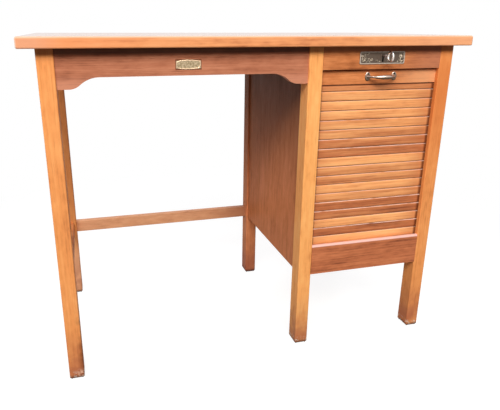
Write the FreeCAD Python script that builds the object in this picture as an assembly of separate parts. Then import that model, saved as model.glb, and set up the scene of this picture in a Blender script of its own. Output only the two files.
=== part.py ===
import FreeCAD, Part
import math
import os

# A writing desk with a kneehole on the left and one pedestal on the right.
# The pedestal is closed by a vertical roll shutter of glued slats.
# Millimetres. +Z is up, the front looks along -Y, the origin is on the floor
# below the middle of the whole desk.

# Overall frame
desk_height = 760.0
frame_width = 917.0
frame_depth = 468.0
pedestal_width = 359.0

# Desk top
top_thickness = 22.0
top_side_overhang = 31.5
top_front_overhang = 23.0
top_rear_overhang = 23.0
top_upper_round = 5.0
top_lower_round = 3.0

# Legs
leg_width = 33.0
leg_depth = 42.0
leg_ease = 2.5
foot_bevel = 5.0

# Mortise and tenon joints
tenon_length = 14.0
tenon_thickness = 8.0
tenon_shoulder = 5.0
joint_clearance = 0.2
mortise_end_room = 1.0

# Aprons under the top, round the kneehole
apron_thickness = 20.0
apron_recess = 4.0
front_apron_height = 78.0
apron_end_flat = 22.5
apron_ogee_length = 60.0
apron_ogee_rise = 22.5
apron_hollow_share = 0.36
rear_apron_height = 68.0
side_apron_height = 68.0

# Stretchers
stretcher_bottom = 196.0
stretcher_height = 32.5
stretcher_thickness = 18.0
stretcher_ease = 1.5

# Pedestal rails and boards
carcase_bottom = 195.0
top_rail_height = 50.7
top_rail_thickness = 20.0
top_rail_recess = 0.5
rail_ease = 1.5
plinth_height = 76.3
plinth_thickness = 10.6
plinth_round = 4.5
plinth_tenon_thickness = 5.0
side_panel_thickness = 10.0
side_panel_recess = 5.0
back_panel_thickness = 8.0
panel_groove_depth = 6.0
dust_board_thickness = 5.0
floor_thickness = 12.0
floor_drop = 3.0

# Shelves on cleats inside the pedestal
shelf_thickness = 10.0
shelf_setback = 48.0
shelf_back_room = 0.5
shelf_height_shares = (0.34, 0.67)
cleat_section = 12.0
cleat_setback = 66.0

# Roll shutter
lead_gap = 2.5
lead_height = 30.5
lead_recess = 9.9
lead_round = 1.5
first_slat_height = 14.7
full_slat_count = 17
last_slat_hidden = 4.0
slat_gap = 0.5
slat_recess = 11.9
slat_thickness = 9.0
slat_round = 2.6
groove_depth = 8.0
groove_clearance = 0.25
slat_tongue = 7.0
shutter_side_room = 0.5
canvas_thickness = 1.0
canvas_lap = 7.0
canvas_side_room = 6.0
bend_radius = 36.0
bend_margin = 21.9
run_back_room = 30.0

# Bowed pull handle on the lead slat, its middle a little right of the pedestal's
handle_shift = 1.7
handle_foot_spacing = 66.5
handle_foot_width = 13.2
handle_foot_height = 20.0
handle_foot_thickness = 2.6
handle_foot_rise = 2.0
handle_bar_rise = 1.4
handle_standoff = 24.0
handle_bar_middle_radius = 4.7
handle_neck_radius = 2.1
handle_root_radius = 4.3
handle_neck_share = 0.66
handle_half_sections = 8
handle_ring_radius = 3.1
handle_ring_width = 1.8
handle_screw_rise = 7.4
handle_screw_head_radius = 1.9
handle_screw_radius = 1.2
handle_screw_length = 9.0
handle_screw_head_height = 1.6

# Lock plate on the pedestal's top rail, its middle a little left of the pedestal's
plate_shift = 3.9
plate_width = 112.0
plate_height = 27.0
plate_thickness = 1.6
plate_corner_scoop = 1.8
plate_border = 2.2
plate_field_depth = 0.6
keyhole_radius = 3.4
keyhole_slot_width = 3.8
keyhole_slot_drop = 12.2
pin_head_radius = 1.5
pin_head_height = 0.9
pin_radius = 0.8
pin_length = 8.0
pin_inset = 5.0

# Box lock behind the top rail
lock_width = 76.0
lock_height = 42.0
lock_depth = 13.5
lock_wall = 1.5
lock_ear = 11.0
lock_top_room = 3.0
lock_screw_radius = 1.5
lock_screw_head_radius = 3.0
lock_screw_head_height = 1.4
lock_screw_length = 9.0
lock_screw_inset = 9.0
fit_clearance = 0.1
running_clearance = 0.3
bolt_length = 40.0
bolt_height = 6.0
bolt_thickness = 3.5
bolt_throw = 8.0
bolt_rear_room = 3.2
staple_offset = 20.0
staple_thickness = 2.5
staple_plate_width = 30.0
staple_plate_height = 18.0
staple_plate_thickness = 2.0
staple_tongue_depth = 8.7
staple_tongue_rise = 18.6
staple_screw_radius = 1.4
staple_screw_head_radius = 2.4
staple_screw_head_height = 1.2
staple_screw_length = 7.0
staple_screw_inset = 5.0

# Key in the lock, its bow upright, a little above the middle of the rail
key_shift = 2.6
key_rise = 3.4
key_bow_reach = 31.0
key_bow_radius = 9.9
key_bow_wire = 2.2
key_stem_radius = 2.7
key_collar_radius = 4.0
key_collar_width = 2.5
key_collar_reach = 14.0
key_bit_length = 8.9
key_bit_width = 2.8
key_bit_thickness = 2.2
key_bit_setback = 0.6
key_tip_length = 3.0

# Small plate on the kneehole apron, its middle a little left of the apron's
name_plate_shift = 2.0
name_plate_width = 52.0
name_plate_end_height = 14.6
name_plate_middle_height = 19.0
name_plate_thickness = 1.0
name_pin_radius = 0.6
name_pin_head_radius = 1.1
name_pin_head_height = 0.6
name_pin_length = 5.0
name_pin_inset = 2.4
name_plate_drop = 33.8

# Glue blocks in the corner between the top and the rails
glue_block_length = 60.0
glue_block_section = 16.0
glue_block_shares = (0.16, 0.5, 0.84)

# One overrun serves every through cut
overrun = 5.0

UP = FreeCAD.Vector(0, 0, 1)
ALONG_X = FreeCAD.Vector(1, 0, 0)
ALONG_Y = FreeCAD.Vector(0, 1, 0)


def point(x, y, z):
    return FreeCAD.Vector(x, y, z)


def block(x0, x1, y0, y1, z0, z1):
    return Part.makeBox(x1 - x0, y1 - y0, z1 - z0, point(x0, y0, z0))


def oriented_block(axis, along0, along1, across0, across1, z0, z1):
    """A block whose length runs along X or along Y."""
    if axis == "x":
        return block(along0, along1, across0, across1, z0, z1)
    return block(across0, across1, along0, along1, z0, z1)


def rod(start, direction, radius, length):
    return Part.makeCylinder(radius, length, start, direction)


def edges_along(shape, direction):
    """The straight edges that run along a direction."""
    found = []
    for edge in shape.Edges:
        if not isinstance(edge.Curve, (Part.Line, Part.LineSegment)):
            continue
        if abs(abs(edge.tangentAt(edge.FirstParameter).dot(direction)) - 1) < 1e-6:
            found.append(edge)
    return found


def eased(shape, direction, radius):
    """Round the four long edges of a plain block."""
    return shape.makeFillet(radius, edges_along(shape, direction))


def arc(start, middle, end):
    return Part.Arc(start, middle, end).toShape()


def line(start, end):
    return Part.LineSegment(start, end).toShape()


def prism(edges, direction):
    """Extrude a closed outline."""
    face = Part.Face(Part.Wire(edges))
    return face.extrude(direction)


def save(name, shape):
    shape.exportStep("parts/" + name + ".step")
    print(name, len(shape.Solids), round(shape.Volume))


os.makedirs("parts", exist_ok=True)

# Places worked out from the sizes
frame_height = desk_height - top_thickness
key_reach = key_bow_reach + key_bow_radius + key_bow_wire
front_reach = max(top_front_overhang, key_reach)
rear_reach = frame_depth + top_rear_overhang
front_y = (front_reach - rear_reach) / 2
back_y = front_y + frame_depth
left_x = -frame_width / 2
right_x = frame_width / 2
pedestal_x = right_x - pedestal_width
bay_left = pedestal_x + leg_width
bay_right = right_x - leg_width
pedestal_middle = (pedestal_x + right_x) / 2
kneehole_left = left_x + leg_width
kneehole_middle = (kneehole_left + pedestal_x) / 2
front_leg_back = front_y + leg_depth
rear_leg_front = back_y - leg_depth
plinth_top = carcase_bottom + plinth_height
rail_bottom = frame_height - top_rail_height
lead_top = rail_bottom - lead_gap
lead_bottom = lead_top - lead_height
lead_front = front_y + lead_recess
slat_front = front_y + slat_recess
slat_back = slat_front + slat_thickness
canvas_back = slat_back + canvas_thickness
first_slat_bottom = lead_bottom - first_slat_height
last_slat_bottom = plinth_top - last_slat_hidden
slat_pitch = (first_slat_bottom - last_slat_bottom) / full_slat_count
bend_centre_z = last_slat_bottom - bend_margin
slat_middle_y = (slat_front + slat_back) / 2
bend_centre_y = slat_middle_y + bend_radius
floor_top = plinth_top - floor_drop

# Each leg collects the cuts that its joints need
leg_places = {
    "leg_front_left": (left_x, front_y),
    "leg_rear_left": (left_x, rear_leg_front),
    "pedestal_leg_front_left": (pedestal_x, front_y),
    "pedestal_leg_rear_left": (pedestal_x, rear_leg_front),
    "pedestal_leg_front_right": (bay_right, front_y),
    "pedestal_leg_rear_right": (bay_right, rear_leg_front),
}
leg_cuts = {name: [] for name in leg_places}


def tenoned_rail(axis, shape, span, across_middle, heights, thickness, legs):
    """Add a tenon at each end of a rail and cut its mortise in the leg there."""
    half = thickness / 2
    low = heights[0] + tenon_shoulder
    high = heights[1] - tenon_shoulder
    for end, outward, leg in zip(span, (-1, 1), legs):
        tip = end + outward * tenon_length
        bottom = end + outward * (tenon_length + mortise_end_room)
        tenon = oriented_block(axis, min(end, tip), max(end, tip),
                               across_middle - half, across_middle + half, low, high)
        mortise = oriented_block(axis, min(end, bottom), max(end, bottom),
                                 across_middle - half - joint_clearance,
                                 across_middle + half + joint_clearance,
                                 low - joint_clearance, high + joint_clearance)
        shape = shape.fuse(tenon)
        leg_cuts[leg].append(mortise)
    return shape


def front_apron():
    """The kneehole apron, its lower edge cut up in an ogee at each end."""
    x0 = kneehole_left
    x1 = pedestal_x
    y0 = front_y + apron_recess
    y1 = y0 + apron_thickness
    low = frame_height - front_apron_height
    high = low + apron_ogee_rise
    both_radii = (apron_ogee_length ** 2 + apron_ogee_rise ** 2) / (2 * apron_ogee_rise)
    half_turn = math.atan2(apron_ogee_rise, apron_ogee_length)
    bow = both_radii * math.sin(half_turn)
    lift = both_radii * (1 - math.cos(half_turn))
    hollow = apron_hollow_share
    rounded = 1 - apron_hollow_share

    def ogee(start_x, side):
        """A short hollow arc that leaves the low flat, and a long round one that reaches the high flat."""
        start = point(start_x, y0, low)
        crossing = point(start_x + side * hollow * apron_ogee_length, y0, low + hollow * apron_ogee_rise)
        end = point(start_x + side * apron_ogee_length, y0, high)
        first = arc(start, point(start_x + side * hollow * bow, y0, low + hollow * lift), crossing)
        second = arc(crossing, point(end.x - side * rounded * bow, y0, high - rounded * lift), end)
        return start, end, [first, second]

    left_start, left_end, left_arcs = ogee(x0 + apron_end_flat, 1)
    right_start, right_end, right_arcs = ogee(x1 - apron_end_flat, -1)
    corner_low_left = point(x0, y0, low)
    corner_low_right = point(x1, y0, low)
    corner_high_left = point(x0, y0, frame_height)
    corner_high_right = point(x1, y0, frame_height)
    outline = [line(corner_low_left, left_start)]
    outline += left_arcs
    outline.append(line(left_end, right_end))
    outline += right_arcs
    outline.append(line(right_start, corner_low_right))
    outline.append(line(corner_low_right, corner_high_right))
    outline.append(line(corner_high_right, corner_high_left))
    outline.append(line(corner_high_left, corner_low_left))
    outline = Part.__sortEdges__(outline)
    shape = prism(outline, point(0, apron_thickness, 0))
    for pin_x, pin_z in name_pin_places():
        hole_radius = name_pin_radius + fit_clearance
        shape = shape.cut(rod(point(pin_x, y0, pin_z), ALONG_Y, hole_radius, name_pin_length + fit_clearance))
    return tenoned_rail("x", shape, (x0, x1), (y0 + y1) / 2, (low + apron_ogee_rise, frame_height),
                        tenon_thickness, ("leg_front_left", "pedestal_leg_front_left"))


def rear_apron():
    y1 = back_y - apron_recess
    y0 = y1 - apron_thickness
    low = frame_height - rear_apron_height
    shape = block(kneehole_left, pedestal_x, y0, y1, low, frame_height)
    return tenoned_rail("x", shape, (kneehole_left, pedestal_x), (y0 + y1) / 2, (low, frame_height),
                        tenon_thickness, ("leg_rear_left", "pedestal_leg_rear_left"))


def left_side_apron():
    x0 = left_x + apron_recess
    x1 = x0 + apron_thickness
    low = frame_height - side_apron_height
    shape = block(x0, x1, front_leg_back, rear_leg_front, low, frame_height)
    return tenoned_rail("y", shape, (front_leg_back, rear_leg_front), (x0 + x1) / 2, (low, frame_height),
                        tenon_thickness, ("leg_front_left", "leg_rear_left"))


def rear_stretcher():
    middle = (rear_leg_front + back_y) / 2
    half = stretcher_thickness / 2
    high = stretcher_bottom + stretcher_height
    shape = block(kneehole_left, pedestal_x, middle - half, middle + half, stretcher_bottom, high)
    shape = eased(shape, ALONG_X, stretcher_ease)
    return tenoned_rail("x", shape, (kneehole_left, pedestal_x), middle, (stretcher_bottom, high),
                        tenon_thickness, ("leg_rear_left", "pedestal_leg_rear_left"))


def left_side_stretcher():
    middle = left_x + leg_width / 2
    half = stretcher_thickness / 2
    high = stretcher_bottom + stretcher_height
    shape = block(middle - half, middle + half, front_leg_back, rear_leg_front, stretcher_bottom, high)
    shape = eased(shape, ALONG_Y, stretcher_ease)
    return tenoned_rail("y", shape, (front_leg_back, rear_leg_front), middle, (stretcher_bottom, high),
                        tenon_thickness, ("leg_front_left", "leg_rear_left"))


# The plate lies at half the height of the top rail, with the key's axis above its middle
plate_x = pedestal_middle - plate_shift
plate_z = rail_bottom + top_rail_height / 2
key_x = pedestal_middle - key_shift
key_z = plate_z + key_rise
rail_front = front_y + top_rail_recess
rail_back = rail_front + top_rail_thickness
plate_front = rail_front - plate_thickness


def keyhole_cut(y0, y1):
    """A round hole with a slot below it for the key's bit."""
    hole = rod(point(key_x, y0, key_z), ALONG_Y, keyhole_radius, y1 - y0)
    half = keyhole_slot_width / 2
    slot = block(key_x - half, key_x + half, y0, y1, key_z - keyhole_slot_drop, key_z)
    return hole.fuse(slot)


def plate_pin_places():
    x_reach = plate_width / 2 - pin_inset
    z_reach = plate_height / 2 - pin_inset
    return [(plate_x + sx * x_reach, plate_z + sz * z_reach) for sx in (-1, 1) for sz in (-1, 1)]


def lock_screw_places():
    x_reach = (lock_width + lock_ear) / 2
    z_middle = (lock_bottom + lock_top) / 2
    z_reach = lock_height / 2 - lock_screw_inset
    return [(key_x + sx * x_reach, z_middle + sz * z_reach) for sx in (-1, 1) for sz in (-1, 1)]


lock_bottom = rail_bottom + lock_top_room
lock_top = lock_bottom + lock_height
lock_back = rail_back + lock_depth


def pedestal_top_rail():
    shape = block(bay_left, bay_right, rail_front, rail_back, rail_bottom, frame_height)
    front_low = [edge for edge in edges_along(shape, ALONG_X)
                 if edge.BoundBox.YMax < rail_front + rail_ease and edge.BoundBox.ZMax < rail_bottom + rail_ease]
    shape = shape.makeFillet(rail_ease, front_low)
    shape = shape.cut(keyhole_cut(rail_front - overrun, rail_back + overrun))
    for x, z in plate_pin_places():
        shape = shape.cut(rod(point(x, rail_front - overrun, z), ALONG_Y, pin_radius + fit_clearance,
                              overrun + pin_length + fit_clearance))
    for x, z in lock_screw_places():
        depth = lock_screw_length + fit_clearance
        shape = shape.cut(rod(point(x, rail_back - depth, z), ALONG_Y, lock_screw_radius + fit_clearance,
                              depth + overrun))
    return tenoned_rail("x", shape, (bay_left, bay_right), (rail_front + rail_back) / 2,
                        (rail_bottom, frame_height), tenon_thickness,
                        ("pedestal_leg_front_left", "pedestal_leg_front_right"))


rear_rail_middle = (rear_leg_front + back_y) / 2


def pedestal_rear_rail():
    half = top_rail_thickness / 2
    shape = block(bay_left, bay_right, rear_rail_middle - half, rear_rail_middle + half,
                  rail_bottom, frame_height)
    return tenoned_rail("x", shape, (bay_left, bay_right), rear_rail_middle, (rail_bottom, frame_height),
                        tenon_thickness, ("pedestal_leg_rear_left", "pedestal_leg_rear_right"))


def plinth_rail():
    """The low rail that hides the shutter's bend, its top edge rounded over."""
    y1 = front_y + plinth_thickness
    shape = block(bay_left, bay_right, front_y, y1, carcase_bottom, plinth_top)
    upper = [edge for edge in edges_along(shape, ALONG_X) if edge.BoundBox.ZMin > plinth_top - plinth_round]
    shape = shape.makeFillet(plinth_round, upper)
    return tenoned_rail("x", shape, (bay_left, bay_right), (front_y + y1) / 2,
                        (carcase_bottom, plinth_top - plinth_round), plinth_tenon_thickness,
                        ("pedestal_leg_front_left", "pedestal_leg_front_right"))


def side_panel(outer_x, inward, front_leg, rear_leg):
    """A pedestal side, held in grooves in its two legs."""
    inner_x = outer_x + inward * side_panel_thickness
    x0 = min(outer_x, inner_x)
    x1 = max(outer_x, inner_x)
    low = carcase_bottom
    shape = block(x0, x1, front_leg_back - panel_groove_depth, rear_leg_front + panel_groove_depth,
                  low, frame_height)
    for leg, y_edge, into in ((front_leg, front_leg_back, -1), (rear_leg, rear_leg_front, 1)):
        bottom = y_edge + into * (panel_groove_depth + joint_clearance)
        leg_cuts[leg].append(block(x0 - joint_clearance, x1 + joint_clearance, min(y_edge, bottom),
                                   max(y_edge, bottom), low - joint_clearance, frame_height))
    return shape


left_panel_outer = pedestal_x + side_panel_recess
right_panel_outer = right_x - side_panel_recess
left_panel_inner = left_panel_outer + side_panel_thickness
right_panel_inner = right_panel_outer - side_panel_thickness
back_panel_front = rear_rail_middle - back_panel_thickness / 2


def pedestal_back_panel():
    back_panel_back = back_panel_front + back_panel_thickness
    shape = block(bay_left - panel_groove_depth, bay_right + panel_groove_depth, back_panel_front,
                  back_panel_back, carcase_bottom, rail_bottom)
    reach = panel_groove_depth + joint_clearance
    for leg, x0, x1 in (("pedestal_leg_rear_left", bay_left - reach, bay_left),
                        ("pedestal_leg_rear_right", bay_right, bay_right + reach)):
        leg_cuts[leg].append(block(x0, x1, back_panel_front - joint_clearance,
                                   back_panel_back + joint_clearance, carcase_bottom - joint_clearance,
                                   rail_bottom))
    return shape


def groove_solid(x0, x1):
    """The way of the slats' ends: down, round the bend and back under the floor."""
    half = slat_thickness / 2 + groove_clearance
    inner = bend_radius - half
    outer = bend_radius + half
    run_end = rear_leg_front - run_back_room
    upright = block(x0, x1, slat_middle_y - half, slat_middle_y + half, bend_centre_z, rail_bottom)
    ring = rod(point(x0, bend_centre_y, bend_centre_z), ALONG_X, outer, x1 - x0)
    ring = ring.cut(rod(point(x0, bend_centre_y, bend_centre_z), ALONG_X, inner, x1 - x0))
    quarter = block(x0, x1, bend_centre_y - outer, bend_centre_y, bend_centre_z - outer, bend_centre_z)
    bend = ring.common(quarter)
    run_middle = bend_centre_z - bend_radius
    run = block(x0, x1, bend_centre_y, run_end, run_middle - half, run_middle + half)
    return upright.fuse(bend).fuse(run)


left_groove = groove_solid(bay_left - groove_depth, bay_left)
right_groove = groove_solid(bay_right, bay_right + groove_depth)
leg_cuts["pedestal_leg_front_left"].append(left_groove)
leg_cuts["pedestal_leg_front_right"].append(right_groove)


def guide_board(x0, x1, groove):
    """A board behind the front leg that carries the groove on under the floor."""
    shape = block(x0, x1, front_leg_back, rear_leg_front, carcase_bottom, frame_height)
    return shape.cut(groove)


def pedestal_floor():
    return block(bay_left, bay_right, canvas_back + groove_depth / 2, back_panel_front,
                 floor_top - floor_thickness, floor_top)


def dust_board():
    return block(bay_left, bay_right, front_y + plinth_thickness, back_panel_front,
                 carcase_bottom, carcase_bottom + dust_board_thickness)


shelf_tops = [floor_top + share * (rail_bottom - floor_top) for share in shelf_height_shares]


def shelf(top_z):
    return block(bay_left, bay_right, front_y + shelf_setback, back_panel_front - shelf_back_room,
                 top_z - shelf_thickness, top_z)


def shelf_cleats():
    """One cleat at each side under the floor and under each shelf."""
    under = [floor_top - floor_thickness]
    under += [top - shelf_thickness for top in shelf_tops]
    y0 = front_y + cleat_setback
    y1 = rear_leg_front - cleat_section
    cleats = []
    for z in under:
        for x0 in (bay_left, bay_right - cleat_section):
            cleats.append(block(x0, x0 + cleat_section, y0, y1, z - cleat_section, z))
    return Part.makeCompound(cleats)


def glue_blocks():
    """Small blocks that hold the top to the aprons and the rear rail."""
    z0 = frame_height - glue_block_section
    half = glue_block_length / 2
    front_face = front_y + apron_recess + apron_thickness
    rear_face = back_y - apron_recess - apron_thickness
    side_face = left_x + apron_recess + apron_thickness
    blocks = []
    for share in glue_block_shares:
        x = kneehole_left + share * (pedestal_x - kneehole_left)
        blocks.append(block(x - half, x + half, front_face, front_face + glue_block_section, z0, frame_height))
        blocks.append(block(x - half, x + half, rear_face - glue_block_section, rear_face, z0, frame_height))
    side_middle = (front_leg_back + rear_leg_front) / 2
    blocks.append(block(side_face, side_face + glue_block_section, side_middle - half, side_middle + half,
                        z0, frame_height))
    rail_face = rear_rail_middle - top_rail_thickness / 2
    blocks.append(block(pedestal_middle - half, pedestal_middle + half, rail_face - glue_block_section,
                        rail_face, z0, frame_height))
    return Part.makeCompound(blocks)


def desk_top():
    x0 = left_x - top_side_overhang
    x1 = right_x + top_side_overhang
    y0 = front_y - top_front_overhang
    y1 = back_y + top_rear_overhang
    shape = block(x0, x1, y0, y1, frame_height, desk_height)
    shape = shape.makeFillet(top_upper_round, edges_along(shape, UP))
    upper = [edge for edge in shape.Edges if edge.BoundBox.ZMin > desk_height - top_lower_round]
    shape = shape.makeFillet(top_upper_round, upper)
    lower = [edge for edge in shape.Edges if edge.BoundBox.ZMax < frame_height + top_lower_round]
    return shape.makeFillet(top_lower_round, lower)


def leg(name):
    x, y = leg_places[name]
    shape = block(x, x + leg_width, y, y + leg_depth, 0, frame_height)
    shape = eased(shape, UP, leg_ease)
    sole = [edge for edge in shape.Edges if edge.BoundBox.ZMax < foot_bevel]
    shape = shape.makeChamfer(foot_bevel, sole)
    for cut in leg_cuts[name]:
        shape = shape.cut(cut)
    return shape


def slat(top_z, height):
    """One slat, its two front edges rounded, its ends running in the grooves."""
    x0 = bay_left - slat_tongue
    x1 = bay_right + slat_tongue
    shape = block(x0, x1, slat_front, slat_back, top_z - height, top_z)
    front = [edge for edge in edges_along(shape, ALONG_X) if edge.BoundBox.YMax < slat_front + slat_round]
    return shape.makeFillet(slat_round, front)


def canvas_backing():
    """The cloth glued behind the slats that lets the shutter bend."""
    return block(bay_left + canvas_side_room, bay_right - canvas_side_room, slat_back, canvas_back,
                 last_slat_bottom, lead_bottom + canvas_lap)


lead_middle_z = (lead_top + lead_bottom) / 2
handle_x = pedestal_middle + handle_shift
handle_bar_z = lead_middle_z + handle_bar_rise
handle_foot_z = lead_middle_z + handle_foot_rise
handle_screw_z = lead_middle_z + handle_screw_rise
handle_foot_places = [handle_x - handle_foot_spacing / 2, handle_x + handle_foot_spacing / 2]
staple_x = key_x + staple_offset
staple_top = lead_top + staple_tongue_rise
staple_plate_top = lead_top - lead_round
staple_plate_back = slat_back + staple_plate_thickness
staple_plate_bottom = staple_plate_top - staple_plate_height
staple_screw_z = staple_plate_bottom + staple_screw_inset


def staple_screw_places():
    x_reach = staple_plate_width / 2 - staple_screw_inset
    return [(staple_x - x_reach, staple_screw_z), (staple_x + x_reach, staple_screw_z)]


def lead_slat():
    """The wide top slat, thicker than the rest, with thin tongues in the grooves."""
    body = block(bay_left + shutter_side_room, bay_right - shutter_side_room, lead_front, slat_back,
                 lead_bottom, lead_top)
    front = [edge for edge in edges_along(body, ALONG_X) if edge.BoundBox.YMax < lead_front + lead_round]
    body = body.makeFillet(lead_round, front)
    tongues = block(bay_left - slat_tongue, bay_right + slat_tongue, slat_front, slat_back,
                    lead_bottom, lead_top)
    shape = body.fuse(tongues).removeSplitter()
    for x in handle_foot_places:
        shape = shape.cut(rod(point(x, lead_front, handle_screw_z), ALONG_Y,
                              handle_screw_radius + fit_clearance, handle_screw_length))
    for x, z in staple_screw_places():
        shape = shape.cut(rod(point(x, slat_back - staple_screw_length, z), ALONG_Y,
                              staple_screw_radius + fit_clearance, staple_screw_length))
    return shape


def handle_bow(share):
    """The middle of the bowed bar at a share of its half turn, and the way it runs there."""
    half = handle_foot_spacing / 2
    radius = (half ** 2 + handle_standoff ** 2) / (2 * handle_standoff)
    turn = share * math.atan2(half, radius - handle_standoff)
    centre_y = lead_front - handle_standoff + radius
    place = point(handle_x + radius * math.sin(turn), centre_y - radius * math.cos(turn), handle_bar_z)
    return place, point(math.cos(turn), math.sin(turn), 0)


def handle_bar_radius(share):
    """Thick in the middle, thinnest at the neck, and flared where the bar meets its foot."""
    reach = abs(share)
    if reach < handle_neck_share:
        swell = math.cos(math.pi / 2 * reach / handle_neck_share) ** 2
        return handle_neck_radius + (handle_bar_middle_radius - handle_neck_radius) * swell
    flare = ((reach - handle_neck_share) / (1 - handle_neck_share)) ** 2
    return handle_neck_radius + (handle_root_radius - handle_neck_radius) * flare


def handle_bar():
    """A bowed bar through round sections, with a ring at each neck."""
    sections = []
    for step in range(-handle_half_sections, handle_half_sections + 1):
        share = step / handle_half_sections
        place, way = handle_bow(share)
        sections.append(Part.Wire(Part.Circle(place, way, handle_bar_radius(share)).toShape()))
    shape = Part.makeLoft(sections, True)
    for side in (-1, 1):
        place, way = handle_bow(side * handle_neck_share)
        shape = shape.fuse(rod(place - way * (handle_ring_width / 2), way, handle_ring_radius, handle_ring_width))
    return shape


def oval(x, y, z, half_width, half_height):
    """An upright or lying ellipse that faces along Y."""
    side = point(x + half_width, y, z)
    top = point(x, y, z + half_height)
    longer, shorter = (side, top) if half_width > half_height else (top, side)
    return Part.Ellipse(longer, shorter, point(x, y, z)).toShape()


def pull_handle():
    """Two oval feet and the bowed bar between them."""
    shape = handle_bar()
    y_foot = lead_front - handle_foot_thickness
    y_bar = lead_front - handle_standoff
    behind = block(handle_x - handle_foot_spacing, handle_x + handle_foot_spacing, lead_front,
                   lead_front + handle_foot_spacing, lead_bottom - lead_height, lead_top + lead_height)
    for x in handle_foot_places:
        foot = oval(x, y_foot, handle_foot_z, handle_foot_width / 2, handle_foot_height / 2)
        shape = shape.fuse(prism([foot], point(0, handle_foot_thickness, 0)))
    shape = shape.cut(behind)
    for x in handle_foot_places:
        head = rod(point(x, y_bar, handle_screw_z), ALONG_Y, handle_screw_head_radius + fit_clearance,
                   handle_standoff - handle_foot_thickness + handle_screw_head_height)
        shank = rod(point(x, y_bar, handle_screw_z), ALONG_Y, handle_screw_radius + fit_clearance, handle_standoff)
        shape = shape.cut(head).cut(shank)
    return shape


def headed_screw(x, y_head, z, into, head_radius, head_height, radius, length):
    """A flat-headed screw: its head at y_head, its shank going on the way given."""
    direction = point(0, into, 0)
    head = rod(point(x, y_head, z), direction, head_radius, head_height)
    shank = rod(point(x, y_head, z), direction, radius, head_height + length)
    return head.fuse(shank)


def handle_screws():
    y_head = lead_front - handle_foot_thickness
    length = handle_foot_thickness - handle_screw_head_height + handle_screw_length - fit_clearance
    screws = [headed_screw(x, y_head, handle_screw_z, 1, handle_screw_head_radius, handle_screw_head_height,
                           handle_screw_radius, length) for x in handle_foot_places]
    return Part.makeCompound(screws)


def shutter_staple():
    """The keeper behind the lead slat: a screwed plate and a tongue with an eye."""
    half = staple_plate_width / 2
    plate = block(staple_x - half, staple_x + half, slat_back, staple_plate_back,
                  staple_plate_bottom, staple_plate_top)
    tongue_half = staple_thickness / 2
    tongue = block(staple_x - tongue_half, staple_x + tongue_half, staple_plate_back - fit_clearance,
                   staple_plate_back + staple_tongue_depth, staple_plate_bottom, staple_top)
    eye = block(staple_x - half, staple_x + half, bolt_front - running_clearance,
                bolt_back + running_clearance, bolt_bottom - running_clearance, bolt_top + running_clearance)
    shape = plate.fuse(tongue).cut(eye)
    for x, z in staple_screw_places():
        shape = shape.cut(rod(point(x, slat_back, z), ALONG_Y, staple_screw_radius + fit_clearance,
                              staple_plate_thickness))
    return shape


def staple_screws():
    y_head = staple_plate_back + staple_screw_head_height
    length = staple_plate_thickness + staple_screw_length - fit_clearance
    screws = [headed_screw(x, y_head, z, -1, staple_screw_head_radius, staple_screw_head_height,
                           staple_screw_radius, length) for x, z in staple_screw_places()]
    return Part.makeCompound(screws)


# The bolt lies on the case's floor, behind the sweep of the key's bit
bolt_bottom = lock_bottom + lock_wall + running_clearance
bolt_top = bolt_bottom + bolt_height
bolt_back = lock_back - lock_wall - bolt_rear_room
bolt_front = bolt_back - bolt_thickness
bolt_tip = staple_x - staple_thickness / 2 - fit_clearance - running_clearance


def lock_case():
    """A thin box with a screwed front plate, open below for the staple's tongue."""
    half = lock_width / 2
    plate_half = half + lock_ear
    front = block(key_x - plate_half, key_x + plate_half, rail_back, rail_back + lock_wall, lock_bottom, lock_top)
    shell = block(key_x - half, key_x + half, rail_back, lock_back, lock_bottom, lock_top)
    hollow = block(key_x - half + lock_wall, key_x + half - lock_wall, rail_back + lock_wall,
                   lock_back - lock_wall, lock_bottom + lock_wall, lock_top - lock_wall)
    slot_half = staple_thickness / 2 + running_clearance
    slot = block(staple_x - slot_half, staple_x + slot_half, rail_back + lock_wall,
                 lock_back - lock_wall, lock_bottom - overrun, lock_bottom + lock_wall)
    shape = front.fuse(shell).removeSplitter().cut(hollow).cut(slot)
    shape = shape.cut(keyhole_cut(rail_back - overrun, rail_back + lock_wall))
    for x, z in lock_screw_places():
        shape = shape.cut(rod(point(x, rail_back, z), ALONG_Y, lock_screw_radius + fit_clearance, lock_wall))
    return shape


def lock_screws():
    y_head = rail_back + lock_wall + lock_screw_head_height
    length = lock_wall + lock_screw_length - fit_clearance
    screws = [headed_screw(x, y_head, z, -1, lock_screw_head_radius, lock_screw_head_height,
                           lock_screw_radius, length) for x, z in lock_screw_places()]
    return Part.makeCompound(screws)


def lock_bolt():
    return block(bolt_tip - bolt_length, bolt_tip, bolt_front, bolt_back, bolt_bottom, bolt_top)


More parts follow.
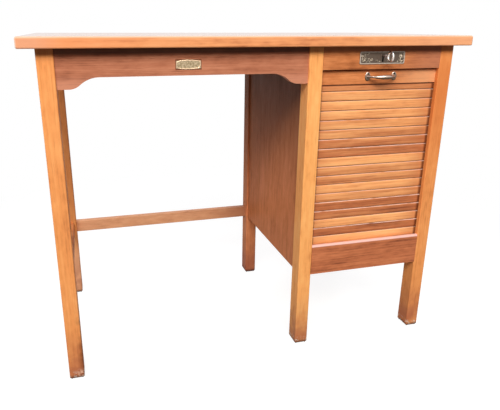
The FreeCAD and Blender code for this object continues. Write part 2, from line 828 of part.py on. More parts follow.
def escutcheon_plate():
    """A long plate with scooped corners, its field sunk inside a plain border."""
    def outline(inset, y):
        x_reach = plate_width / 2 - inset
        z_reach = plate_height / 2 - inset
        scoop = plate_corner_scoop
        deep = scoop * math.sqrt(0.5)
        edges = []
        corners = ((1, 1), (-1, 1), (-1, -1), (1, -1))
        starts = []
        for sx, sz in corners:
            on_end = point(plate_x + sx * x_reach, y, plate_z + sz * (z_reach - scoop))
            on_side = point(plate_x + sx * (x_reach - scoop), y, plate_z + sz * z_reach)
            inner = point(plate_x + sx * (x_reach - deep), y, plate_z + sz * (z_reach - deep))
            first, last = (on_end, on_side) if sx == sz else (on_side, on_end)
            edges.append(arc(first, inner, last))
            starts.append((first, last))
        for i in range(len(starts)):
            edges.append(line(starts[i][1], starts[(i + 1) % len(starts)][0]))
        return Part.__sortEdges__(edges)

    shape = prism(outline(0, plate_front), point(0, plate_thickness, 0))
    field = prism(outline(plate_border, plate_front), point(0, plate_field_depth, 0))
    shape = shape.cut(field).cut(keyhole_cut(plate_front - overrun, rail_front + overrun))
    for x, z in plate_pin_places():
        shape = shape.cut(rod(point(x, plate_front - overrun, z), ALONG_Y, pin_radius + fit_clearance,
                              plate_thickness + 2 * overrun))
    return shape


def domed_pin(x, y_seat, z, head_radius, head_height, radius, length):
    """A small pin with a domed head whose flat side sits on y_seat."""
    seat = point(x, y_seat, z)
    ball_radius = (head_radius ** 2 + head_height ** 2) / (2 * head_height)
    ball = Part.makeSphere(ball_radius, point(x, y_seat - head_height + ball_radius, z))
    head = ball.common(rod(point(x, y_seat - head_height, z), ALONG_Y, ball_radius, head_height))
    return head.fuse(rod(seat, ALONG_Y, radius, length))


def escutcheon_pins():
    y_seat = plate_front + plate_field_depth
    length = plate_thickness - plate_field_depth + pin_length
    pins = [domed_pin(x, y_seat, z, pin_head_radius, pin_head_height, pin_radius, length)
            for x, z in plate_pin_places()]
    return Part.makeCompound(pins)


def key():
    """A ring bow, a stem with a collar and a flat bit inside the lock."""
    y_bow = front_y - key_bow_reach
    y_ring = y_bow + key_bow_radius
    y_collar = front_y - key_collar_reach
    y_bit = rail_back + lock_wall + key_bit_setback
    y_tip = y_bit + key_bit_width + key_tip_length
    half_bit = key_bit_thickness / 2
    bow = Part.makeTorus(key_bow_radius, key_bow_wire, point(key_x, y_bow, key_z), ALONG_X)
    stem = rod(point(key_x, y_ring, key_z), ALONG_Y, key_stem_radius, y_tip - y_ring)
    collar = rod(point(key_x, y_collar, key_z), ALONG_Y, key_collar_radius, key_collar_width)
    bit = block(key_x - half_bit, key_x + half_bit, y_bit, y_bit + key_bit_width,
                key_z - key_stem_radius - key_bit_length, key_z)
    return bow.fuse(stem).fuse(collar).fuse(bit).removeSplitter()


name_plate_x = kneehole_middle - name_plate_shift
name_plate_z = frame_height - name_plate_drop
apron_front = front_y + apron_recess


def name_pin_places():
    x_reach = name_plate_width / 2 - name_pin_inset
    z_reach = name_plate_end_height / 2 - name_pin_inset
    return [(name_plate_x + sx * x_reach, name_plate_z + sz * z_reach) for sx in (-1, 1) for sz in (-1, 1)]


def name_plate():
    """A small bare plate whose long sides bow outwards."""
    y = apron_front - name_plate_thickness

    def long_side(up):
        """The left, middle and right point of the upper or the lower side."""
        half_width = name_plate_width / 2
        end_z = name_plate_z + up * name_plate_end_height / 2
        middle_z = name_plate_z + up * name_plate_middle_height / 2
        return (point(name_plate_x - half_width, y, end_z), point(name_plate_x, y, middle_z),
                point(name_plate_x + half_width, y, end_z))

    upper = long_side(1)
    lower = long_side(-1)
    outline = [arc(*upper), line(upper[-1], lower[-1]), arc(*reversed(lower)), line(lower[0], upper[0])]
    shape = prism(outline, point(0, name_plate_thickness, 0))
    for x, z in name_pin_places():
        shape = shape.cut(rod(point(x, y, z), ALONG_Y, name_pin_radius + fit_clearance, name_plate_thickness))
    return shape


def name_plate_pins():
    y_seat = apron_front - name_plate_thickness
    length = name_plate_thickness + name_pin_length
    pins = [domed_pin(x, y_seat, z, name_pin_head_radius, name_pin_head_height, name_pin_radius, length)
            for x, z in name_pin_places()]
    return Part.makeCompound(pins)


# Rails and panels first, because they say which cuts the legs need
save("desk_top", desk_top())
save("front_apron", front_apron())
save("rear_apron", rear_apron())
save("left_side_apron", left_side_apron())
save("left_side_stretcher", left_side_stretcher())
save("rear_stretcher", rear_stretcher())
save("pedestal_top_rail", pedestal_top_rail())
save("pedestal_rear_rail", pedestal_rear_rail())
save("plinth_rail", plinth_rail())
save("pedestal_left_panel", side_panel(left_panel_outer, 1, "pedestal_leg_front_left", "pedestal_leg_rear_left"))
save("pedestal_right_panel",
     side_panel(right_panel_outer, -1, "pedestal_leg_front_right", "pedestal_leg_rear_right"))
save("pedestal_back_panel", pedestal_back_panel())
for leg_name in leg_places:
    save(leg_name, leg(leg_name))

# The inside of the pedestal
save("left_guide_board", guide_board(left_panel_inner, bay_left, left_groove))
save("right_guide_board", guide_board(bay_right, right_panel_inner, right_groove))
save("pedestal_floor", pedestal_floor())
save("dust_board", dust_board())
save("lower_shelf", shelf(shelf_tops[0]))
save("upper_shelf", shelf(shelf_tops[1]))
save("shelf_cleats", shelf_cleats())
save("glue_blocks", glue_blocks())

# The roll shutter
save("lead_slat", lead_slat())
save("slat_01", slat(lead_bottom - slat_gap, first_slat_height - slat_gap))
for number in range(full_slat_count):
    top_z = first_slat_bottom - number * slat_pitch - slat_gap
    save("slat_%02d" % (number + 2), slat(top_z, slat_pitch - slat_gap))
save("canvas_backing", canvas_backing())
save("pull_handle", pull_handle())
save("handle_screws", handle_screws())

# Lock, key and plates
save("lock_case", lock_case())
save("lock_screws", lock_screws())
save("lock_bolt", lock_bolt())
save("shutter_staple", shutter_staple())
save("staple_screws", staple_screws())
save("key", key())
save("escutcheon_plate", escutcheon_plate())
save("escutcheon_pins", escutcheon_pins())
save("name_plate", name_plate())
save("name_plate_pins", name_plate_pins())
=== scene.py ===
# %% [markdown]
# # A kneehole desk with a roll shutter
# The desk stands on six square legs. Its right side is a narrow cupboard, closed by a shutter of thin wooden
# slats on canvas that rolls down behind the plinth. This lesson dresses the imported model: it keeps the
# joinery that is right already, gives every board its own wood, and makes the small pieces that need a finer
# shape.

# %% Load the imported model
import math

import bmesh
import bpy
from mathutils import Matrix, Vector


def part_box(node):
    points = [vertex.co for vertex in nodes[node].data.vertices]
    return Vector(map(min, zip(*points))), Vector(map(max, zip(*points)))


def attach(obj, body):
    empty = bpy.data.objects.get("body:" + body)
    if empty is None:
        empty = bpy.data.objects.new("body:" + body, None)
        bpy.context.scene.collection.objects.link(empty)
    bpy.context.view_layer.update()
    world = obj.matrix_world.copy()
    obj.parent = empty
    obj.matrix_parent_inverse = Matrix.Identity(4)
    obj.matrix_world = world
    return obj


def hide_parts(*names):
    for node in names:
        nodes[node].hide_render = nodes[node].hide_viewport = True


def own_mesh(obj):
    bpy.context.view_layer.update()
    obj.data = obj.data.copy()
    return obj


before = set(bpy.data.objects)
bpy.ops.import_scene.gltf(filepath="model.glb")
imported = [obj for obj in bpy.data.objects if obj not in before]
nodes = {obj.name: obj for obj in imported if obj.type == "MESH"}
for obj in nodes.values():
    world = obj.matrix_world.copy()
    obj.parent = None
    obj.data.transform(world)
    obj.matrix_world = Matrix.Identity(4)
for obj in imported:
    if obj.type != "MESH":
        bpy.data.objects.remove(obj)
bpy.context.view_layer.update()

millimetre = 0.001


def in_short(values, digits=4):
    return [round(value, digits) for value in values]


def sizes_of(box):
    return [high - low for low, high in zip(*box)]


def middle_of(box):
    return [(low + high) / 2 for low, high in zip(*box)]


def in_millimetres(box):
    return [round(size / millimetre, 1) for size in sizes_of(box)]


def new_object(name, data):
    """A new object at the origin of the scene."""
    made = bpy.data.objects.new(name, data)
    bpy.context.scene.collection.objects.link(made)
    return made


# %% [markdown]
# ## The camera
# The picture was taken from in front of the left half of the desk, looking slightly down and to the right.
# The place, the turn and the focal length were found by matching corners of the desk. A lens shift moves the
# frame sideways without bending the upright lines, as cropping a picture does.

# %% Place the camera
image_width_px = 500
image_height_px = 410
focal_length_px = 519.9
lens_axis_px = (224.64, 200.15)
camera_place = Vector((-0.37946, -1.29161, 0.77853))
camera_yaw = 0.26551
camera_pitch = 0.32309
camera_roll = 0.00277
sensor_width_mm = 36.0
quarter_turn = math.pi / 2


def aimed(yaw, pitch, roll=0.0):
    """The turn of a thing that looks to the back, by a yaw to the right and by a pitch down."""
    level_turn = Matrix.Rotation(-yaw, 4, "Z") @ Matrix.Rotation(quarter_turn - pitch, 4, "X")
    return level_turn @ Matrix.Rotation(roll, 4, "Z")


camera_lens = bpy.data.cameras.new("photo_camera")
camera_lens.sensor_width = sensor_width_mm
camera_lens.lens = sensor_width_mm * focal_length_px / image_width_px
camera_lens.shift_x = (image_width_px / 2 - lens_axis_px[0]) / image_width_px
camera_lens.shift_y = (lens_axis_px[1] - image_height_px / 2) / image_width_px
camera = new_object("photo_camera", camera_lens)
camera.matrix_world = Matrix.Translation(camera_place) @ aimed(camera_yaw, camera_pitch, camera_roll)
bpy.context.scene.camera = camera
print("lens", round(camera_lens.lens, 2), "mm, shift", in_short((camera_lens.shift_x, camera_lens.shift_y)))

# %% [markdown]
# ## Writing node trees in few words
# Materials and Geometry Nodes are both trees of nodes. Here an output of a node is a value that can be added
# and multiplied like a number, and each sum adds its own node. A new node finds its tree from the values
# that go into it, so the later cells read like recipes.

# %% Values and nodes
class Value:
    """An output of a node. A sum on it adds a node to its tree."""

    def __init__(self, socket):
        self.socket = socket
        self.tree = socket.id_data

    def reckon(self, operation, *others):
        return add_node("ShaderNodeMath", enumerate((self, *others)), operation=operation)[0]

    def __add__(self, other):
        return self.reckon("ADD", other)

    def __sub__(self, other):
        return self.reckon("SUBTRACT", other)

    def __rsub__(self, number):
        return self.reckon("MULTIPLY_ADD", -1.0, number)

    def __mul__(self, other):
        return self.reckon("MULTIPLY", other)

    def __truediv__(self, other):
        return self.reckon("DIVIDE", other)

    def __neg__(self):
        return self.reckon("MULTIPLY", -1.0)

    def __abs__(self):
        return self.reckon("ABSOLUTE")


def feed(socket, value):
    """Links a socket to a value, or writes a plain number, word or material into it."""
    if isinstance(value, Value):
        value.tree.links.new(value.socket, socket)
    else:
        socket.default_value = value


def add_node(kind, inputs=(), tree=None, **settings):
    """Adds a node, fills its inputs by name or number, and returns its outputs by number and name."""
    inputs = dict(inputs)
    if tree is None:
        tree = next(value.tree for value in inputs.values() if isinstance(value, Value))
    made = tree.nodes.new(kind)
    for setting, value in settings.items():
        setattr(made, setting, value)
    for socket, value in inputs.items():
        feed(made.inputs[socket], value)
    values = [Value(socket) for socket in made.outputs]
    return {**dict(enumerate(values)), **{value.socket.name: value for value in values}}


print("values can be reckoned with")

# %% Sums, places and noise
def larger(first, second):
    return first.reckon("MAXIMUM", second)


def rise(value, low, high):
    """0 below low, 1 above high, and a soft step between them."""
    ends = {"Value": value, "From Min": low, "From Max": high}
    return add_node("ShaderNodeMapRange", ends, interpolation_type="SMOOTHSTEP")["Result"]


def vector_of(*parts):
    return add_node("ShaderNodeCombineXYZ", enumerate(parts))[0]


def vector_sum(operation, *vectors):
    """A sum on vectors. Only a length comes out as a number."""
    made = add_node("ShaderNodeVectorMath", enumerate(vectors), operation=operation)
    return made["Value" if operation == "LENGTH" else "Vector"]


def xyz(place):
    """The three parts of a place or of a direction."""
    parts = add_node("ShaderNodeSeparateXYZ", {0: place})
    return [parts[axis] for axis in "XYZ"]


def part_of(place, axis):
    return xyz(place)["XYZ".index(axis)]


def object_place(tree):
    return add_node("ShaderNodeTexCoord", tree=tree)["Object"]


def noise(place, scale, detail=2.0, roughness=0.5):
    """A cloudy noise. Its first output is a number, and its second one a colour."""
    clouds = {"Vector": place, "Scale": scale, "Detail": detail, "Roughness": roughness}
    return add_node("ShaderNodeTexNoise", clouds)


print("sums and noise ready")

# %% Colours and surfaces
byte_white = 255
# The curve of a screen: straight up to its foot's end, and then a power
foot_end_share = 0.04045
foot_slope = 12.92
curve_shift = 0.055
curve_power = 2.4
# The sockets of a Mix node that carry its share and its two colours, and the one with the mixed colour
mix_inputs = (0, 6, 7)
mix_output = 2


def colour(red, green, blue):
    """A colour as a screen shows it, 0 to 255, made into the light values that the shader takes."""
    shares = [channel / byte_white for channel in (red, green, blue)]
    light = [share / foot_slope if share < foot_end_share
             else ((share + curve_shift) / (1 + curve_shift)) ** curve_power for share in shares]
    return (*light, 1.0)


def blend_colour(share, first, second):
    return add_node("ShaderNodeMix", zip(mix_inputs, (share, first, second)), data_type="RGBA")[mix_output]


def new_material(name):
    material = bpy.data.materials.new(name)
    material.use_nodes = True
    material.node_tree.nodes.clear()
    return material, material.node_tree


def end_with_mix(share, first, second, end):
    """Ends a tree with two shaders, mixed by a share."""
    add_node(end, {"Surface": add_node("ShaderNodeMixShader", enumerate((share, first, second)))[0]})


def end_with_surface(tint, roughness, height, bump_share, bump_depth, others):
    """Ends a tree with a surface that has a bump. The others are more inputs of it, by name."""
    bump = add_node("ShaderNodeBump", {"Strength": bump_share, "Distance": bump_depth, "Height": height})
    inputs = {"Base Color": tint, "Roughness": roughness, "Normal": bump[0], **others}
    add_node("ShaderNodeOutputMaterial", {"Surface": add_node("ShaderNodeBsdfPrincipled", inputs)[0]})


print("a mid grey is", in_short(colour(128, 128, 128), 3))

# %% [markdown]
# ## Floor and light
# The object stands on a pale floor in front of white. The soft key lamp stands in front, a little to the left
# and low, so that the overhang of the top throws a short dark band on the apron, as in the picture. The
# camera sees the floor and the world as white. The floor's white share grows away from the desk, so that the
# shadow stays and no horizon shows. Mirror rays see a share of that white, and all other rays the plain,
# dimmer light.

# %% White world
white = colour(255, 255, 255)
sky_strength = 0.13
sky_mirror_share = 0.85
sky_colour = colour(255, 245, 232)


def seen_share(tree, mirror_share):
    """1 for rays straight to the camera or through glass, a share for mirrors, and 0 for soft light."""
    path = add_node("ShaderNodeLightPath", tree=tree)
    straight = larger(path["Is Camera Ray"], path["Is Transmission Ray"])
    return larger(straight, path["Is Glossy Ray"] * mirror_share)


world = bpy.data.worlds.new("white_room")
world.use_nodes = True
bpy.context.scene.world = world
sky = world.node_tree
sky.nodes.clear()
soft_sky = add_node("ShaderNodeBackground", {"Color": sky_colour, "Strength": sky_strength}, sky)[0]
backdrop = add_node("ShaderNodeBackground", {"Color": white}, sky)[0]
end_with_mix(seen_share(sky, sky_mirror_share), soft_sky, backdrop, "ShaderNodeOutputWorld")
print("the world gives soft light at", sky_strength)

# %% Pale floor
floor_light = 1.9
floor_pale = (floor_light, floor_light, floor_light, 1.0)
floor_grey = colour(150, 148, 145)
floor_reach = 9.0
floor_near = 0.55
floor_far = 1.45
floor_near_share = 0.86
floor_mirror_share = 0.2

floor_finish, ground = new_material("studio_floor")
seen_floor = seen_share(ground, floor_mirror_share)
floor_tint = blend_colour(seen_floor, floor_grey, floor_pale)
floor_matt = add_node("ShaderNodeBsdfDiffuse", {"Color": floor_tint})[0]
floor_glow = add_node("ShaderNodeEmission", {"Color": white}, ground)[0]
far_share = rise(vector_sum("LENGTH", object_place(ground)), floor_near, floor_far)
white_share = far_share * (1 - floor_near_share) + floor_near_share
end_with_mix(seen_floor * white_share, floor_matt, floor_glow, "ShaderNodeOutputMaterial")

floor_mesh = bpy.data.meshes.new("floor")
floor_corners = [(x * floor_reach, y * floor_reach, 0) for x, y in ((-1, -1), (1, -1), (1, 1), (-1, 1))]
floor_mesh.from_pydata(floor_corners, [], [range(len(floor_corners))])
floor_mesh.materials.append(floor_finish)
floor = new_object("floor", floor_mesh)
print("floor reaches", floor_reach, "m to each side")

# %% Lamps
lamp_aim = Vector((0, 0, 0.45))
# Degrees to the left of straight in front, degrees up, distance, size, power and colour
lamps = {
    "key_lamp": (18, 40, 5.0, (5.0, 1.7), 306, colour(255, 250, 244)),
    "back_lamp": (-130, 38, 5.0, (3.0, 2.0), 110, colour(244, 246, 255)),
    "fill_lamp": (80, 18, 4.0, (3.0, 2.0), 16, colour(228, 236, 255)),
}
# The back lamp only lifts the shadows, and no polished face shows it
lamps_not_mirrored = ("back_lamp",)

for name, (left, upward, distance, size, power, tint) in lamps.items():
    light = bpy.data.lights.new(name, "AREA")
    light.shape = "RECTANGLE"
    light.size, light.size_y = size
    light.energy = power
    light.color = tint[:3]
    lamp = new_object(name, light)
    lamp_turn = aimed(math.radians(left), math.radians(upward))
    lamp.matrix_world = Matrix.Translation(lamp_aim) @ lamp_turn @ Matrix.Translation((0, 0, distance))
    lamp.visible_glossy = name not in lamps_not_mirrored
    print(name, "at", in_short(lamp.matrix_world.translation, 2))

# %% [markdown]
# ## Wood
# The desk is a fine-grained fruitwood or beech under old shellac. A tree's year rings are cylinders about its
# heart, so a board cut along the trunk shows lines on one face and arches on another. The grain group builds
# that log in three dimensions: warped rings, long streaks, soft mottling and short dark pores, all on Object
# coordinates. Each board then takes its colours, its direction and its own place in the log.

# %% The log that all boards are cut from
ring_warp = 0.045
year_change = 3.2
# About how many clouds a metre holds across and along the grain, their detail and their roughness
log_noises = {
    "warp": (7.0, 0.8, 2.0, 0.5),
    "years": (34.0, 2.2, 3.0, 0.5),
    "streaks": (120.0, 4.0, 5.0, 0.62),
    "mottle": (24.0, 8.0, 3.0, 0.5),
    "curl": (95.0, 36.0, 3.0, 0.55),
    "pores": (640.0, 18.0, 2.0, 0.6),
}
ring_dark_shares = (0.25, 0.90)
ring_end_shares = (0.92, 1.0)
mean_ring_share = 0.35
mean_share = 0.5
middle_colour_shares = (0.10, 0.62)
dark_colour_shares = (0.52, 1.05)
pore_shares = (0.56, 0.74)
pore_height_share = -0.7
ring_height_share = 0.3


def log_noise(place, name):
    """One noise of the log, squeezed so that it runs along the grain."""
    across, along, detail, roughness = log_noises[name]
    squeezed = [part * count for part, count in zip(xyz(place), (across, across, along))]
    return noise(vector_of(*squeezed), 1.0, detail, roughness)


def ring_lines(place, ring_width):
    """Pale early wood that darkens to a thin late line, ring after ring."""
    from_heart = vector_of(*xyz(place)[:2], 0.0)
    bend = (ring_warp, ring_warp, 0)
    bent = vector_sum("MULTIPLY_ADD", log_noise(place, "warp")["Color"], bend, from_heart)
    count = vector_sum("LENGTH", bent) / ring_width
    season = (log_noise(place, "years")[0] * year_change + count).reckon("FRACT")
    return rise(season, *ring_dark_shares) * (1 - rise(season, *ring_end_shares))


print("noises of the log:", ", ".join(log_noises))

# %% The log as a group of nodes
def make_grain_group():
    """The log as a group of nodes: a place in it gives a colour, a height for the bump and a tone."""
    tree = bpy.data.node_groups.new("desk_grain", "ShaderNodeTree")
    taken = {"Vector": ("Place",), "Color": ("Pale", "Middle", "Dark"),
             "Float": ("Ring Width", "Ring Figure", "Streaks", "Mottle", "Pores")}
    returned = {"Color": ("Color",), "Float": ("Height", "Tone")}
    for way, sockets in (("INPUT", taken), ("OUTPUT", returned)):
        for kind, names in sockets.items():
            for name in names:
                tree.interface.new_socket(name, in_out=way, socket_type="NodeSocket" + kind)
    given = add_node("NodeGroupInput", tree=tree)
    place = given["Place"]
    rings = ring_lines(place, given["Ring Width"])
    tone = (rings - mean_ring_share) * given["Ring Figure"] + mean_share
    for name, strength in (("streaks", "Streaks"), ("mottle", "Mottle"), ("curl", "Mottle")):
        tone = (log_noise(place, name)[0] - mean_share) * given[strength] + tone
    tint = blend_colour(rise(tone, *middle_colour_shares), given["Pale"], given["Middle"])
    tint = blend_colour(rise(tone, *dark_colour_shares), tint, given["Dark"])
    pores = log_noise(place, "pores")[0]
    tint = blend_colour(rise(pores, *pore_shares) * given["Pores"], tint, given["Dark"])
    height = pores * pore_height_share + rings * ring_height_share
    add_node("NodeGroupOutput", {"Color": tint, "Height": height, "Tone": tone})
    return tree


grain_group = make_grain_group()
print("grain group has", len(grain_group.nodes), "nodes")

# %% [markdown]
# ## One finish for each kind of board
# The colours are named after the boards that carry them. The legs and the top are honey coloured, the apron
# and the plinth redder and darker. On the top, the slats, the plinth and the rear stretcher the shellac is
# still a thin clear coat. Elsewhere it has gone dull.

# %% Colours and figure of the boards
# Pale, middle and dark colour
finishes = {
    "leg": ((251, 176, 108), (238, 156, 91), (188, 112, 64)),
    "pale_leg": ((255, 192, 120), (251, 176, 104), (212, 132, 74)),
    "red_leg": ((238, 158, 110), (218, 136, 90), (160, 90, 56)),
    "top": ((250, 181, 127), (242, 165, 109), (200, 123, 79)),
    "apron": ((196, 130, 99), (178, 112, 83), (118, 67, 48)),
    "rail": ((213, 137, 85), (193, 118, 70), (140, 78, 43)),
    "lead": ((224, 143, 88), (205, 124, 71), (154, 85, 47)),
    "plinth": ((207, 126, 82), (188, 109, 69), (134, 72, 44)),
    "panel": ((226, 142, 92), (208, 128, 80), (158, 90, 54)),
    "stretcher": ((236, 178, 136), (220, 158, 117), (172, 110, 78)),
    "inner": ((206, 160, 114), (190, 142, 96), (150, 104, 66)),
    "slat_honey": ((255, 191, 126), (252, 176, 112), (220, 140, 84)),
    "slat_brown": ((210, 130, 82), (184, 106, 62), (122, 62, 34)),
}
# Width of the year rings, and how strongly rings, streaks and mottling show
figures = {
    "leg": (0.0034, 0.10, 0.66, 0.70),
    "pale_leg": (0.0034, 0.08, 0.72, 0.80),
    "red_leg": (0.0034, 0.10, 0.62, 0.74),
    "top": (0.0060, 0.16, 1.10, 0.85),
    "apron": (0.0030, 0.16, 1.25, 0.80),
    "rail": (0.0040, 0.10, 1.20, 1.10),
    "lead": (0.0040, 0.10, 1.20, 1.05),
    "plinth": (0.0060, 0.16, 1.50, 0.95),
    "panel": (0.0036, 0.16, 0.90, 0.70),
    "stretcher": (0.0034, 0.12, 0.80, 0.80),
    "inner": (0.0050, 0.20, 0.90, 0.80),
    "slat": (0.0044, 0.14, 2.20, 0.50),
}
pore_strength = 0.55
log_step = Vector((0.137, 0.211, 0.618))
log_heart = Vector((0.19, 0.12, 0.0))


def colours_of(finish):
    return [colour(*shade) for shade in finishes[finish]]


def along_grain(place, axis):
    """Turns object coordinates so that the third one runs along the board's grain."""
    parts = dict(zip("xyz", xyz(place)))
    across = [parts[other] for other in parts if other != axis]
    return vector_of(*across, parts[axis])


def log_steps(place, number):
    """Moves a place in the log by as many steps as a number says."""
    return vector_sum("ADD", place, vector_of(*[number * step for step in log_step]))


def grain_from(place, colours, kind):
    names = ("Place", "Pale", "Middle", "Dark", "Ring Width", "Ring Figure", "Streaks", "Mottle", "Pores")
    values = (place, *colours, *figures[kind], pore_strength)
    return add_node("ShaderNodeGroup", zip(names, values), node_tree=grain_group)


print("finishes:", ", ".join(finishes))

# %% Polish and joined boards
shellac_share = 0.12
shellac_roughness = 0.25
polish_roughness = 0.08
wood_rough_low = 0.40
wood_rough_high = 0.60
wood_shine = 0.24
dull_shine = 0.12
dull_kinds = ("panel", "inner", "apron", "rail", "leg", "pale_leg", "red_leg")
wood_bump_share = 0.22
wood_bump_depth = 0.0003
board_widths = {"top": 0.131, "panel": 0.152}
board_joint = 0.0006
board_tone_share = 0.20
level_shares = (0.90, 0.99)


def shellacked(tint, grain, coat, coat_roughness, shine):
    """The polished wood surface that all boards share."""
    gloss = {"Value": grain["Tone"], "To Min": wood_rough_low, "To Max": wood_rough_high}
    roughness = add_node("ShaderNodeMapRange", gloss)["Result"]
    end_with_surface(tint, roughness, grain["Height"], wood_bump_share, wood_bump_depth,
                     {"Specular IOR Level": shine, "Coat Weight": coat, "Coat Roughness": coat_roughness})


def normal_part(tree, axis):
    """How far a surface looks along an axis."""
    return part_of(add_node("ShaderNodeNewGeometry", tree=tree)["Normal"], axis)


def facing(tree, axis, low_share, high_share):
    """0 where a surface looks along the axis, either way, less than a low share, and 1 above a high one."""
    return rise(abs(normal_part(tree, axis)), low_share, high_share)


def joined_boards(place, width):
    """A wide board is glued up from narrow ones: their places in the log, and how much darker they are."""
    u, v = xyz(place)[:2]
    across = (u + v) / width
    board = across.reckon("FLOOR")
    tone = add_node("ShaderNodeTexWhiteNoise", {"W": board}, noise_dimensions="1D")["Value"]
    joint = rise(abs(across.reckon("FRACT") - 1 / 2), 1 / 2 - board_joint / width, 1 / 2)
    return log_steps(place, board), larger(tone * board_tone_share, joint)


print("boards glued up from narrow ones:", ", ".join(board_widths))

# %% The wood material
def wood(name, kind, axis, number, marks):
    """A board of one finish, with its own place in the log. Marks are stains, wear and painted light on its
    colour.
    """
    material, tree = new_material(name)
    place = object_place(tree)
    cut = vector_sum("ADD", along_grain(place, axis), log_heart + log_step * number)
    darker = 0.0
    if kind in board_widths:
        cut, darker = joined_boards(cut, board_widths[kind])
    colours = colours_of(kind)
    grain = grain_from(cut, colours, kind)
    tint = blend_colour(darker, grain["Color"], colours[-1])
    for mark in marks:
        tint = mark(place, tint)
    coat, coat_roughness, shine = shellac_share, shellac_roughness, wood_shine
    if kind in dull_kinds:
        coat, shine = 0.0, dull_shine
    if kind == "top":
        coat, coat_roughness = facing(tree, "Z", *level_shares), polish_roughness
    shellacked(tint, grain, coat, coat_roughness, shine)
    return material


def paint_node(name, material):
    """Gives a CAD piece its finish."""
    for slot in nodes[name].material_slots:
        slot.material = material


print("boards without a clear coat:", ", ".join(dull_kinds))

# %% [markdown]
# ## Marks of age and painted shade
# Long use leaves scuffs and flecks of paint at the feet, pale rubbed edges, and darker lower ends where wet
# floors were mopped. Shade and light are painted as marks too: a dark band under the overhang of the top,
# shade on the upper rear legs, on the upper left panel, on the top of the lock plate and in the keyhole, a
# dark line round the name plate that is partly shadow, a dim reflection on the key's bow, and highlights on
# the rubbed edges. Each mark is a mask made from the place on the desk, and some are broken up by a noise,
# so that it stays where it belongs from any side. The places are taken from the boxes of the pieces, most as
# shares of them, so the marks follow the desk when its sizes change.

# %% Masks by place
patch_detail = 3.0


def patchy(place, scale, low, high):
    """A cloudy mask: 0 where a noise lies below low, and 1 where it lies above high."""
    return rise(noise(place, scale, patch_detail)[0], low, high)


def between(place, axis, box, bare_share, full_share):
    """0 at one share of a box's length along the axis, 1 at another, and a soft step between them."""
    index = "XYZ".index(axis)
    ends = [box[0][index] + sizes_of(box)[index] * share for share in sorted((bare_share, full_share))]
    mask = rise(part_of(place, axis), *ends)
    return mask if bare_share < full_share else 1 - mask


def inside(place, axis, low, high):
    """1 between two places on an axis, and 0 outside them."""
    part = part_of(place, axis)
    return part.reckon("GREATER_THAN", low) * part.reckon("LESS_THAN", high)


def stain(shade, share, axis, box, bare_share, full_share, clouds=None):
    """A mark that grows along an axis from nothing to its share of a colour. Clouds make it patchy."""
    def mark(place, tint):
        mask = between(place, axis, box, bare_share, full_share) * share
        if clouds:
            mask = mask * patchy(place, *clouds)
        return blend_colour(mask, tint, colour(*shade))
    return mark


print("masks ready")

# %% Stains and painted shade
top_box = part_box("desk_top")
apron_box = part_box("front_apron")
plinth_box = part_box("plinth_rail")
panel_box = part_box("pedestal_left_panel")
plate_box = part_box("escutcheon_plate")
key_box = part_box("key")
lead_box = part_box("lead_slat")
leg_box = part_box("leg_front_left")
name_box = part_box("name_plate")
# How many clouds a metre holds, and where the noise starts and ends to show
damp_clouds = (24.0, 0.15, 0.60)
fleck_clouds = (120.0, 0.53, 0.60)
rubbed_clouds = (30.0, 0.1, 0.4)
heart_clouds = (9.0, 0.1, 0.6)
scrape_clouds = (38.0, 0.3, 0.7)
scuff_clouds = (130.0, 0.40, 0.58)
slat_end_brown = finishes["slat_brown"][1]
